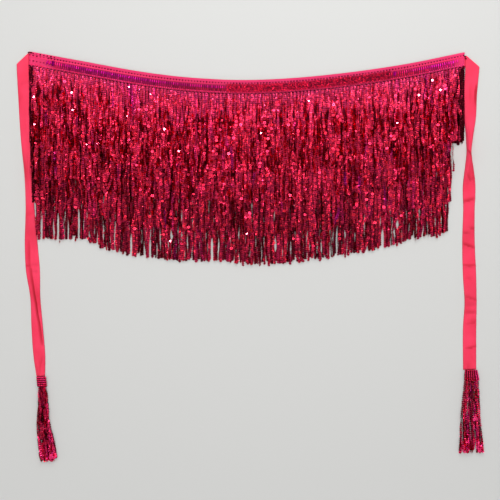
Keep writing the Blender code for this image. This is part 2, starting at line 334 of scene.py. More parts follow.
class Finishes:
    """Every finish of the scarf, made once."""

    def __init__(self) -> None:
        """Make the materials."""
        self.film = SequinFilm().make()
        self.flashing = SequinFilm("flashing_sequin", roughness=0.2, skin=0.35).make()
        self.packed = SequinFilm(
            "packed_sequin_columns", crimson="#ee1e40", magenta="#ea2458", violet="#b00098",
            glance="#c03070", roughness=0.36, spread=0.5, most=4.0, skin=0.0,
        ).make()
        self.string = Thread("maroon_string", "#560414").make()
        self.stitch = Thread("maroon_stitching", "#4c0014").make()
        self.ribbon, self.knit, self.band_cloth = (
            cloth.make()
            for cloth in table(
                Weave,
                ("satin_ribbon", "#fc466a", "#ee2e4e", 0.45 * MM, 0.6, 0.03, 0.12, 1.0),
                ("stretch_knit", "#640820", "#4e0418", 0.9 * MM, 0.8, 0.02, 0.05),
                ("band_rim_cloth", "#f8447a", "#ea3268", 0.9 * MM, 0.6, 0.0, 0.03),
            )
        )


class NodeMaker:
    """A geometry tree with named inputs, and the plain mesh that it makes of a guide."""

    def __init__(self, name: str, sizes: dict[str, tuple[str, ...]]) -> None:
        """Start a tree.

        Args:
            name: The tree's name.
            sizes: The named inputs after the guide, by the kind of socket.
        """
        self.tree = bpy.data.node_groups.new(name, "GeometryNodeTree")
        self.add = partial(add_node, self.tree)
        face = self.tree.interface
        face.new_socket("Guide", in_out="INPUT", socket_type="NodeSocketGeometry")
        face.new_socket("Piece", in_out="OUTPUT", socket_type="NodeSocketGeometry")
        self.keys = {
            key: face.new_socket(key, in_out="INPUT", socket_type=f"NodeSocket{kind}").identifier
            for kind, keys in sizes.items()
            for key in keys
        }
        self.given = self.tree.nodes.new("NodeGroupInput").outputs

    def spaced(self) -> tuple[Node, Node]:
        """Turn the guide into curves, and find places along them at the tree's spacing.

        Returns:
            The curves, and the places.
        """
        line = self.add("GeometryNodeMeshToCurve", {"Mesh": self.given["Guide"]})
        spacing = {"Curve": line, "Length": self.given["Spacing"]}
        return line, self.add("GeometryNodeResampleCurve", spacing, mode="LENGTH")

    def turned(self, turns: Sequence[tuple[Point, Node | NodeSocket]]) -> Node:
        """How each item is turned.

        Args:
            turns: After it points along the guide, each axis and angle that turns it.

        Returns:
            The rotation.
        """
        along = {"Vector": self.add("GeometryNodeInputTangent")}
        turned = self.add("FunctionNodeAlignRotationToVector", along, axis="X", pivot_axis="Z")
        for axis, angle in turns:
            turn = self.add("FunctionNodeAxisAngleToRotation", {"Axis": axis, "Angle": angle})
            both = {0: turned, 1: turn}
            turned = self.add("FunctionNodeRotateRotation", both, rotation_space="LOCAL")
        return turned

    def chance(self, least: object = 0.0, most: object = 1.0, seed: object = None) -> NodeSocket:
        """A random value between two others.

        Args:
            least: The least value.
            most: The greatest value.
            seed: The seed, where it isn't the tree's own.

        Returns:
            The value, another one for each item.
        """
        reach = {2: least, 3: most, 8: seed or self.given["Seed"]}
        return self.add("FunctionNodeRandomValue", reach).outputs[1]

    def run(self, name: str, guide: Mesh, values: dict[str, object]) -> Object:
        """Run the tree on a guide and keep the result as a plain mesh.

        Args:
            name: The finished piece's name.
            guide: The mesh of guide lines, which is removed.
            values: A value for each named input.

        Returns:
            The finished piece, at the origin.
        """
        guide_object = new_object(name + "_guide", guide)
        modifier = guide_object.modifiers.new("maker", "NODES")
        modifier.node_group = self.tree
        for key, value in values.items():
            modifier[self.keys[key]] = value
        graph = bpy.context.evaluated_depsgraph_get()
        mesh = bpy.data.meshes.new_from_object(guide_object.evaluated_get(graph))
        mesh.name = name
        bpy.data.objects.remove(guide_object)
        bpy.data.meshes.remove(guide)
        return new_object(name, mesh)


class SequinStringer(NodeMaker):
    """Strings cupped sequins along guide lines, on a thread.

    A sequin turns about its thread by the guide's roll, and leans on the next one.
    """

    def __init__(self) -> None:
        """Build the tree."""
        sizes = (
            "Spacing", "Sequin Radius", "Cup Depth", "Film Thickness", "Least Lean", "Most Lean",
            "Roll Jitter", "Thread Radius", "Floor",
        )
        kinds = {"Float": sizes, "Int": ("Seed",), "Material": ("Film", "Thread")}
        super().__init__("Sequin Stringer", kinds)
        node, given = self.add, self.given
        line, spaced = self.spaced()
        size = node("GeometryNodeInputNamedAttribute", {"Name": "size"}, data_type="FLOAT")
        places = {"Points": spaced, "Instance": self.sequin(), "Rotation": self.turn(), "Scale": size}
        strung = node("GeometryNodeInstanceOnPoints", places)
        mark = {"Geometry": strung, "Name": "chance", "Value": self.chance()}
        marked = node("GeometryNodeStoreNamedAttribute", mark, domain="INSTANCE", data_type="FLOAT")
        real = node("GeometryNodeRealizeInstances", {0: marked})
        film = node("GeometryNodeSetMaterial", {"Geometry": real, "Material": given["Film"]})
        both = node("GeometryNodeJoinGeometry", {0: film})
        wire(both, {0: self.thread(line)})
        node("NodeGroupOutput", {0: self.lifted(both)})

    def sequin(self) -> Node:
        """A cupped disc of film, closed, with its hollow underneath.

        Returns:
            The disc, marked with how far each point is from its middle.
        """
        node, given = self.add, self.given
        sides = {"Vertices": 8, "Side Segments": 1, "Fill Segments": 1, "Radius Top": 0.0}
        sides |= {"Radius Bottom": given["Sequin Radius"], "Depth": given["Cup Depth"]}
        cone = node("GeometryNodeMeshCone", sides, fill_type="TRIANGLE_FAN")
        x, y, z = node("ShaderNodeSeparateXYZ", {0: node("GeometryNodeInputPosition")}).outputs
        flat = node("ShaderNodeCombineXYZ", {0: x, 1: y})
        away = node("ShaderNodeVectorMath", {0: flat}, operation="LENGTH").outputs["Value"]
        pole = {0: away, 1: 0.1 * MM}
        middle = node("FunctionNodeCompare", pole, data_type="FLOAT", operation="LESS_THAN")
        walls = {0: given["Cup Depth"], 1: given["Film Thickness"]}
        hollow = node("ShaderNodeMath", walls, operation="SUBTRACT")
        roof = node("ShaderNodeMath", {0: z, 1: hollow}, operation="MAXIMUM")
        raised = node("ShaderNodeCombineXYZ", {0: x, 1: y, 2: roof})
        lift = {"Geometry": cone, "Selection": middle, "Position": raised}
        cupped = node("GeometryNodeSetPosition", lift)
        # The rim mark, which the film paints as a dark hole in the middle and a highlight at the rim.
        out = node("ShaderNodeMath", {0: away, 1: given["Sequin Radius"]}, operation="DIVIDE")
        mark = {"Geometry": cupped, "Name": "rim", "Value": out}
        return node("GeometryNodeStoreNamedAttribute", mark, domain="POINT", data_type="FLOAT")

    def turn(self) -> Node:
        """How each sequin is turned: along its thread, rolled about it, then leant.

        Returns:
            The rotation.
        """
        node, given = self.add, self.given
        roll = node("GeometryNodeInputNamedAttribute", {"Name": "roll"}, data_type="FLOAT")
        seed = node("ShaderNodeMath", {0: given["Seed"], 1: 17.0}, operation="ADD")
        least = node("ShaderNodeMath", {0: given["Roll Jitter"], 1: -1.0}, operation="MULTIPLY")
        jitter = self.chance(least, given["Roll Jitter"], seed)
        rolled = node("ShaderNodeMath", {0: roll, 1: jitter}, operation="ADD")
        lean = self.chance(given["Least Lean"], given["Most Lean"])
        return self.turned([((1.0, 0.0, 0.0), rolled), ((0.0, 1.0, 0.0), lean)])

    def thread(self, line: Node) -> Node:
        """The thread along the guide lines, as a three-sided tube.

        Args:
            line: The guide lines.

        Returns:
            The tube, in its finish.
        """
        around = {"Resolution": 3, "Radius": self.given["Thread Radius"]}
        ring = self.add("GeometryNodeCurvePrimitiveCircle", around, mode="RADIUS")
        sweep = {"Curve": line, "Profile Curve": ring, "Fill Caps": True}
        tube = self.add("GeometryNodeCurveToMesh", sweep)
        dressed = {"Geometry": tube, "Material": self.given["Thread"]}
        return self.add("GeometryNodeSetMaterial", dressed)

    def lifted(self, shape: Node) -> Node:
        """The same shape with nothing below the floor height.

        Args:
            shape: The shape.

        Returns:
            The lifted shape.
        """
        node = self.add
        x, y, z = node("ShaderNodeSeparateXYZ", {0: node("GeometryNodeInputPosition")}).outputs
        height = node("ShaderNodeMath", {0: z, 1: self.given["Floor"]}, operation="MAXIMUM")
        place = node("ShaderNodeCombineXYZ", {0: x, 1: y, 2: height})
        return node("GeometryNodeSetPosition", {"Geometry": shape, "Position": place})


class BeadRower(NodeMaker):
    """Sets a row of long rounded beads along guide lines: ribs of packed sequins, or stitches."""

    def __init__(self) -> None:
        """Build the tree."""
        sizes = ("Spacing", "Slant", "Slant Jitter", "Size Jitter")
        kinds = {"Float": sizes, "Vector": ("Bead Size",), "Int": ("Sides", "Rings", "Seed")}
        super().__init__("Bead Rower", kinds | {"Material": ("Finish",)})
        node, given = self.add, self.given
        spaced = self.spaced()[1]
        round_bead = {"Segments": given["Sides"], "Rings": given["Rings"], "Radius": 0.5}
        ball = node("GeometryNodeMeshUVSphere", round_bead)
        reach = {0: given["Slant"], 1: given["Slant Jitter"]}
        least, most = (node("ShaderNodeMath", reach, operation=way) for way in ("SUBTRACT", "ADD"))
        turned = self.turned([((0.0, 0.0, 1.0), self.chance(least, most))])
        smallest = node("ShaderNodeMath", {0: 1.0, 1: given["Size Jitter"]}, operation="SUBTRACT")
        share = {0: given["Bead Size"], 3: self.chance(smallest)}
        size = node("ShaderNodeVectorMath", share, operation="SCALE")
        places = {"Points": spaced, "Instance": ball, "Rotation": turned, "Scale": size}
        beads = node("GeometryNodeInstanceOnPoints", places)
        # One rim mark for every bead, so the film's painted hole and rim highlight give each the same
        # painted brightness.
        for key, value in (("chance", self.chance()), ("rim", 0.7)):
            mark = {"Geometry": beads, "Name": key, "Value": value}
            beads = node("GeometryNodeStoreNamedAttribute", mark, domain="INSTANCE", data_type="FLOAT")
        beads = node("GeometryNodeRealizeInstances", {0: beads})
        beads = node("GeometryNodeSetShadeSmooth", {0: beads})
        dressed = {"Geometry": beads, "Material": given["Finish"]}
        node("NodeGroupOutput", {0: node("GeometryNodeSetMaterial", dressed)})


@dataclass
class Line:
    """A guide line: its points, and how the sequins on it are turned, tinted and sized."""

    points: np.ndarray
    roll: np.ndarray | None = None
    shade: np.ndarray | None = None
    violet: np.ndarray | None = None
    size: np.ndarray | None = None


def mark_points(mesh: Mesh, key: str, values: np.ndarray) -> None:
    """Store one value for each point of a mesh.

    Args:
        mesh: The mesh.
        key: The mark's name.
        values: A value for each point, in any number of rows.
    """
    layer = mesh.attributes.new(key, "FLOAT", "POINT")
    layer.data.foreach_set("value", values.reshape(-1).astype(np.float32))


def guide_mesh(name: str, lines: Sequence[Line]) -> Mesh:
    """Gather guide lines in one mesh of loose edges.

    Args:
        name: The mesh's name.
        lines: The lines, each with its own marks.

    Returns:
        The mesh, with the marks roll, shade, violet and size.
    """
    points = np.concatenate([line.points for line in lines])
    edges, start = [], 0
    for line in lines:
        end = start + len(line.points)
        edges += [(i, i + 1) for i in range(start, end - 1)]
        start = end
    mesh = bpy.data.meshes.new(name)
    mesh.from_pydata(points.tolist(), edges, [])
    for key, empty in (("roll", 0.0), ("shade", 1.0), ("violet", 0.0), ("size", 1.0)):
        marks = [getattr(line, key) for line in lines]
        values = [
            np.full(len(line.points), empty) if mark is None else mark
            for line, mark in zip(lines, marks)
        ]
        mark_points(mesh, key, np.concatenate(values))
    return mesh


def cloth_mesh(name: str, points: np.ndarray, faces: list[list[int]], uv: np.ndarray) -> Mesh:
    """Make a smooth mesh with a UV map.

    Args:
        name: The mesh's name.
        points: Its points, in any number of rows.
        faces: The points of each face.
        uv: The place on the cloth of each corner of each face, in metres.

    Returns:
        The mesh.
    """
    mesh = bpy.data.meshes.new(name)
    mesh.from_pydata(points.reshape(-1, 3).tolist(), [], faces)
    layer = mesh.uv_layers.new(name="cloth")
    layer.data.foreach_set("uv", uv.reshape(-1).astype(np.float32))
    mesh.shade_smooth()
    return mesh


def grid_mesh(name: str, points: np.ndarray, uv: np.ndarray) -> Mesh:
    """Make a mesh of a grid of points.

    Args:
        name: The mesh's name.
        points: Rows by columns by three.
        uv: Rows by columns by two, in metres on the cloth.

    Returns:
        A quad mesh.
    """
    index = np.arange(points.shape[0] * points.shape[1]).reshape(points.shape[:2])
    corners = [index[:-1, :-1], index[:-1, 1:], index[1:, 1:], index[1:, :-1]]
    faces = np.stack(corners, axis=-1).reshape(-1, 4)
    return cloth_mesh(name, points, faces.tolist(), uv.reshape(-1, 2)[faces.reshape(-1)])


def turn_outwards(mesh: Mesh) -> None:
    """Point the faces of closed shells outwards.

    Args:
        mesh: The mesh of the shells.
    """
    shape = bmesh.new()
    shape.from_mesh(mesh)
    bmesh.ops.recalc_face_normals(shape, faces=shape.faces)
    shape.to_mesh(mesh)
    shape.free()


def tube_mesh(name: str, rings: np.ndarray, along: np.ndarray, around: np.ndarray) -> Mesh:
    """Make a closed tube through rings of points, with a face over each end.

    Args:
        name: The mesh's name.
        rings: Rings by points by three.
        along: How far along the cloth each ring is, in metres.
        around: How far round the cloth each point is, and then the whole way round.

    Returns:
        A closed mesh with its faces outwards.
    """
    count, size = rings.shape[:2]
    index = np.arange(count * size).reshape(count, size)
    right = np.roll(index, -1, axis=1)
    sides = np.stack([index[:-1], right[:-1], right[1:], index[1:]], axis=-1).reshape(-1, 4)
    faces = sides.tolist() + [index[0].tolist(), index[-1].tolist()]
    ring, point = np.divmod(np.arange((count - 1) * size), size)
    corners = [(ring, point), (ring, point + 1), (ring + 1, point + 1), (ring + 1, point)]
    uv = np.stack([np.stack([along[r], around[p]], axis=-1) for r, p in corners], axis=1)
    caps = [np.stack([np.full(size, along[end]), around[:-1]], axis=-1) for end in (0, -1)]
    mesh = cloth_mesh(name, rings, faces, np.concatenate([uv.reshape(-1, 2), *caps]))
    turn_outwards(mesh)
    return mesh


def add_object(name: str, mesh: Mesh, finish: Material) -> Object:
    """Put a mesh in the scene.

    Args:
        name: The object's name.
        mesh: The mesh, which is given full brightness if it isn't marked with any.
        finish: What it is made of.

    Returns:
        The object, at the origin.
    """
    if "shade" not in mesh.attributes:
        mark_points(mesh, "shade", np.ones(len(mesh.vertices)))
    mesh.materials.append(finish)
    return new_object(name, mesh)


def solidify(piece: Object, thickness: float) -> None:
    """Give a sheet its cloth thickness, under its surface.

    Args:
        piece: The sheet.
        thickness: The cloth's thickness.
    """
    wall = piece.modifiers.new("cloth", "SOLIDIFY")
    wall.thickness = thickness
    wall.offset = -1.0


def smooth_at(places: Sequence[float], values: Sequence[float], at: np.ndarray) -> np.ndarray:
    """Read a smooth curve through measured values.

    Args:
        places: Where the values were measured, in rising order.
        values: The measured values.
        at: Where to read the curve.

    Returns:
        The curve's values, held level past its ends.
    """
    xs, ys = np.array(places, float), np.array(values, float)
    slopes = np.gradient(ys, xs)
    at = np.clip(at, xs[0], xs[-1])
    low = np.clip(np.searchsorted(xs, at, side="right") - 1, 0, len(xs) - 2)
    step = xs[low + 1] - xs[low]
    t = (at - xs[low]) / step
    first = (1 + 2 * t) * (1 - t) ** 2 * ys[low] + t * (1 - t) ** 2 * step * slopes[low]
    second = t * t * (3 - 2 * t) * ys[low + 1] - t * t * (1 - t) * step * slopes[low + 1]
    return first + second


def read_at(at: float | np.ndarray, pairs: Pairs) -> np.ndarray:
    """Read a straight-lined curve through measured marks.

    Args:
        at: Where to read it, in metres.
        pairs: The marks, each a place in millimetres and a value.

    Returns:
        The values.
    """
    places, values = np.array(pairs, float).T
    return np.interp(at, places * MM, values)


@dataclass
class Waist:
    """The scarf's curved waist edge: the highest Y at places along X."""

    xs: np.ndarray
    ys: np.ndarray

    @classmethod
    def of_solid(cls, solid: Object) -> Waist:
        """Read the edge from the waistband's solid.

        Args:
            solid: The solid.

        Returns:
            The edge.
        """
        highest: dict[float, float] = {}
        for vertex in solid.data.vertices:
            x = round(vertex.co.x, 5)
            highest[x] = max(highest.get(x, -1.0), vertex.co.y)
        xs = sorted(highest)
        return cls(np.array(xs), np.array([highest[x] for x in xs]))

    def y(self, x: float | np.ndarray) -> float | np.ndarray:
        """The waist edge, carried on straight past its ends.

        Args:
            x: Where to read it.

        Returns:
            Its Y.
        """
        slope_left = (self.ys[1] - self.ys[0]) / (self.xs[1] - self.xs[0])
        slope_right = (self.ys[-1] - self.ys[-2]) / (self.xs[-1] - self.xs[-2])
        inside = np.interp(x, self.xs, self.ys)
        before = np.minimum(x - self.xs[0], 0) * slope_left
        after = np.maximum(x - self.xs[-1], 0) * slope_right
        return inside + before + after


@dataclass(frozen=True)
class BeadRow:
    """Long rounded beads in a row, in millimetres: a rib, a sewn line or a wrap."""

    size: Point
    spacing: float
    slant: float = 0.0
    slant_jitter: float = 0.05
    size_jitter: float = 0.1
    sides: int = 8
    rings: int = 5


@dataclass
class Scarf:
    """What every piece of the scarf is fitted to."""

    waist: Waist
    finishes: Finishes
    stringer: SequinStringer
    rower: BeadRower
    floor: Object
    band_height: float = 30 * MM
    seam: float = 0.3 * MM
    tiers: int = 4
    tier_step: float = 62 * MM
    tape_height: float = 9 * MM

    def keep(self, piece: Object, slot: str, *nodes: str) -> Object:
        """Hang a finished piece on the scarf's one body.

        Args:
            piece: The finished piece.
            slot: The record's material slot, which is not used.
            *nodes: The solids that it stands for.

        Returns:
            The same piece.
        """
        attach(piece, "root")
        if nodes:
            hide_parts(*nodes)
        count = sum(len(face.vertices) - 2 for face in piece.data.polygons)
        LOG.info("%s: %d triangles", piece.name, count)
        return piece

    def below_band(self, x: float | np.ndarray, down: float | np.ndarray) -> np.ndarray:
        """Y of a place at a distance below the waistband's lower edge."""
        return self.waist.y(x) - self.band_height - self.seam - down

    def string_sequins(
        self, name: str, lines: Sequence[Line], values: dict[str, object], slot: str, *nodes: str
    ) -> Object:
        """String sequins on guide lines.

        Args:
            name: The piece's name.
            lines: The guide lines.
            values: What differs from the usual sequin.
            slot: The record's material slot.
            *nodes: The solids that the piece stands for.

        Returns:
            The finished strings.
        """
        usual = {
            "Spacing": 4.0 * MM, "Sequin Radius": 3.2 * MM, "Cup Depth": 0.7 * MM,
            "Film Thickness": 0.15 * MM, "Least Lean": math.radians(-6),
            "Most Lean": math.radians(42), "Roll Jitter": 0.22, "Thread Radius": 0.18 * MM,
            "Floor": 0.1 * MM, "Seed": 7, "Film": self.finishes.film, "Thread": self.finishes.string,
        }
        piece = self.stringer.run(name, guide_mesh(name, lines), usual | values)
        return self.keep(piece, slot, *nodes)

    def row_beads(
        self, name: str, lines: Sequence[Line], row: BeadRow, finish: Material, slot: str
    ) -> Object:
        """Set beads along guide lines.

        Args:
            name: The piece's name.
            lines: The guide lines.
            row: The beads' size and spacing.
            finish: What the beads are made of.
            slot: The record's material slot.

        Returns:
            The finished row.
        """
        values = {
            "Spacing": row.spacing * MM, "Bead Size": [size * MM for size in row.size],
            "Slant": row.slant, "Slant Jitter": row.slant_jitter, "Size Jitter": row.size_jitter,
            "Sides": row.sides, "Rings": row.rings, "Seed": len(name), "Finish": finish,
        }
        return self.keep(self.rower.run(name, guide_mesh(name, lines), values), slot)


@dataclass(frozen=True)
class TierPlan:
    """How one tier is strung, in millimetres.

    It names the loops, the first and the last string, the stretches of strings painted dark
    for a tie's shadow, how far the strings gather in clumps, and the painted shade of the
    lowest string.
    """

    loops: int
    left: float
    right: float
    dark: Pairs
    gather: float
    lowest: float


@dataclass(frozen=True)
class Opening:
    """A gap between two clumps at the hem, in millimetres below the band."""

    x: float
    half: float
    start: float
    end: float = 420.0


@dataclass(frozen=True)
class Patch:
    """A soft patch of painted shade, where its gain is below 0, or of painted light, where it is above;
    in millimetres.
    """

    x: float
    down: float
    wide: float
    tall: float
    gain: float


@dataclass
class TieredFringe:
    """Four overlapping tiers of sequin strings.

    Each string is a thread of cupped sequins that twists, so that it shows its discs in
    some stretches and their edges in others. Two strings hang from each sewn loop. Some
    lie high and are painted bright, and the rest lie low and are painted dark, as shade
    between them. The film is also painted darker towards the hem, and in patches of
    painted shade and painted light. Places in the tables are millimetres.
    """

    scarf: Scarf
    plans: tuple[TierPlan, ...] = table(
        TierPlan,
        (121, -447.5, 428.5, ((-455, -447), (419, 442)), 0.2, 0.6),
        (108, -446, 415.5, ((-452, -446),), 0.3, 0.54),
        (110, -434, 411.5, ((-449, -435),), 0.35, 0.3),
        (126, -440, 406.5, ((-440, -438.5),), 0.3, 0.3),
    )
    openings: tuple[Opening, ...] = table(
        Opening,
        (-431, 1.6, 286), (-397, 1.0, 286), (-376, 0.9, 295), (-354, 1.2, 266),
        (-337, 0.8, 268, 300), (-246, 1.6, 300), (-207, 1.4, 306), (-162, 2.6, 286, 312),
        (-142, 2.2, 284, 310), (-79, 2.0, 290), (52, 2.0, 290, 330), (195, 2.2, 288, 312),
        (273, 2.2, 294), (304, 3.0, 281, 312),
    )
    # Patches of painted shade and painted light.
    patches: tuple[Patch, ...] = table(
        Patch,
        (-439, 50, 5, 16, -0.6), (-419, 57, 4, 18, -0.65), (-359, 58, 5, 14, -0.6),
        (-303, 159, 8, 22, -0.6), (-263, 224, 7, 16, -0.55), (-106, 263, 7, 14, -0.5),
        (-27, 281, 6, 55, -0.6), (227, 230, 6, 16, -0.6), (264, 200, 8, 18, -0.5),
        (196, 291, 8, 14, -0.55), (304, 293, 6, 14, -0.5), (293, 97, 12, 16, -0.35),
        (420, 52, 6, 30, -0.55), (383, 13, 4, 8, -0.6), (359, 24, 5, 10, -0.55),
        (-160, 30, 16, 18, -0.25), (-180, 177, 14, 20, -0.3), (8, 187, 10, 30, -0.25),
        (-46, 94, 8, 30, 0.3), (167, 101, 8, 18, 0.35), (-286, 100, 7, 18, 0.25),
        (-394, 183, 12, 14, 0.25), (-116, 52, 14, 18, 0.15), (-323, 242, 7, 14, 0.3),
        (345, 6, 60, 16, 0.3), (415, 8, 14, 14, 0.25),
    )
    hem: Pairs = (
        (-425, 5.5), (-394, 1.5), (-352, -6.5), (-332, -8), (-317, -1.5), (-301, 3.2), (-249, 6.2),
        (-207, 5.2), (-145, 3.4), (-104, 1.2), (-73, -1), (-42, 1.8), (0, 4.6), (51, 4.4), (82, 5.4),
        (144, 3.0), (207, -0.2), (279, -4.4), (331, -12.0), (393, -9),
    )
    # Painted shade down the fringe: bright at the band, darker towards the hem.
    levels: Pairs = (
        (0, 1.75), (9, 1.5), (22, 1.18), (47, 1.3), (78, 0.87), (109, 0.78), (140, 0.75),
        (202, 0.69), (233, 0.61), (264, 0.6), (295, 0.53), (345, 0.46),
    )
    violet_places: Pairs = ((-300, 85), (-52, 12), (393, 22))
    tangles: tuple[Point, ...] = ((375, 45, 2.2), (-392, 35, 1.4))
    length: float = 158 * MM
    ragged: float = 5.5 * MM
    point_step: float = 11 * MM
    first_height: float = 4.2 * MM
    floor_height: float = 2.8 * MM
    layer: float = 2.7 * MM
    scatter: float = 1.6 * MM
    clump_pitch: float = 12.5 * MM
    stray_share: float = 0.24
    loop_run: float = 5 * MM
    dark_pitch: float = 2.1
    golden: float = 0.618
    string_half: float = 3.0
    mouth: float = 14.0
    close: float = 8.0
    tape_top: float = 3.0 * MM
    tape_columns: int = 120
    tape_cloth: float = 1.2 * MM
    first_tape_shade: float = 0.28
    sewn_share: float = 0.24
    dark_sewn_share: float = 0.4
    sway: float = 1.1 * MM
    # Near the first tier's loops every string is painted at even_tone, over the painted shade of the low
    # strings.
    even_reach: float = 26 * MM
    even_tone: float = 1.3
    violet_dim: float = 0.45

    def lay_height(self, tier: int, drop: np.ndarray) -> np.ndarray:
        """Height of a tier's threads, lying on the panel and then on the tier below.

        Args:
            tier: The tier's number, from 0 at the top.
            drop: Distances below the top of its tape.

        Returns:
            Heights above the surface.
        """
        step = self.scarf.tier_step
        climb = np.clip((drop - step / 2) / (step / 2), 0, 1)
        if tier == self.scarf.tiers - 1:
            settled = np.full_like(drop, self.floor_height)
        else:
            settled = self.layer + self.lay_height(tier + 1, np.maximum(drop - step, 0))
        return self.first_height + (settled - self.first_height) * climb

    def extra_length(self, x: float) -> float:
        """How much longer the fringe hangs at a place along the scarf."""
        places, extras = np.array(self.hem).T * MM
        return float(np.interp(x, places, extras))

    def shade_at(self, down: np.ndarray) -> np.ndarray:
        """The film's painted shade, from bright at the waistband to darker towards the hem."""
        return read_at(down, self.levels)

    def patched(self, xs: np.ndarray, down: np.ndarray) -> np.ndarray:
        """The painted shade and light of the patches at places on the fringe.

        Args:
            xs: Places along X.
            down: Distances below the band.

        Returns:
            What to multiply the brightness with.
        """
        level = np.ones_like(xs)
        for patch in self.patches:
            across = (xs / MM - patch.x) / patch.wide
            along = (down / MM - patch.down) / patch.tall
            level *= 1 + patch.gain * np.exp(-(across**2) - along**2)
        return level

    def opened(self, xs: np.ndarray, down: np.ndarray, side_of: float) -> np.ndarray:
        """Push a string out of the gaps at the hem.

        Args:
            xs: The string's places along X.
            down: Distances below the band.
            side_of: Where the string hangs, which says to which side it goes.

        Returns:
            The places along X, moved where a gap is open.
        """
        for gap in self.openings:
            rise = np.clip((down / MM - gap.start) / self.mouth, 0, 1)
            fall = np.clip((gap.end - down / MM) / self.close, 0, 1)
            room = (gap.half + self.string_half) * MM * rise * fall
            side = 1 if side_of > gap.x * MM else -1
            xs = np.where(np.abs(xs - gap.x * MM) < room, gap.x * MM + side * room, xs)
        return xs

    def build(self) -> None:
        """String every tier and sew on its tape."""
        for number, plan in enumerate(self.plans):
            node = f"fringe_tier_{number + 1}"
            lines = Tier(self, number, plan, np.random.default_rng(40 + number)).lines()
            values = {"Seed": 7 + number}
            self.scarf.string_sequins(node + "_strings", lines, values, "sequin_fringe", node)
            low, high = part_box(node)
            self.build_tape(number, low.x, high.x)

    def build_tape(self, tier: int, left: float, right: float) -> None:
        """Weave the narrow tape that holds a tier's strings.

        Args:
            tier: The tier's number.
            left: The tape's left end.
            right: The tape's right end.
        """
        across = np.linspace(0, self.scarf.tape_height, 4)
        grid, down = np.meshgrid(np.linspace(left, right, self.tape_columns), across, indexing="ij")
        ys = self.scarf.below_band(grid, down + tier * self.scarf.tier_step)
        points = np.stack([grid, ys, np.full_like(grid, self.tape_top)], axis=-1)
        mesh = grid_mesh(f"tape_{tier + 1}", points, np.stack([grid, down], axis=-1))
        # The first tape is painted dark, as shade between the strings that hang over it.
        mark_points(mesh, "shade", np.full(grid.shape, 1.0 if tier else self.first_tape_shade))
        finishes = self.scarf.finishes
        tape = add_object(mesh.name, mesh, finishes.knit if tier else finishes.band_cloth)
        solidify(tape, self.tape_cloth)
        self.scarf.keep(tape, "backing_cloth")


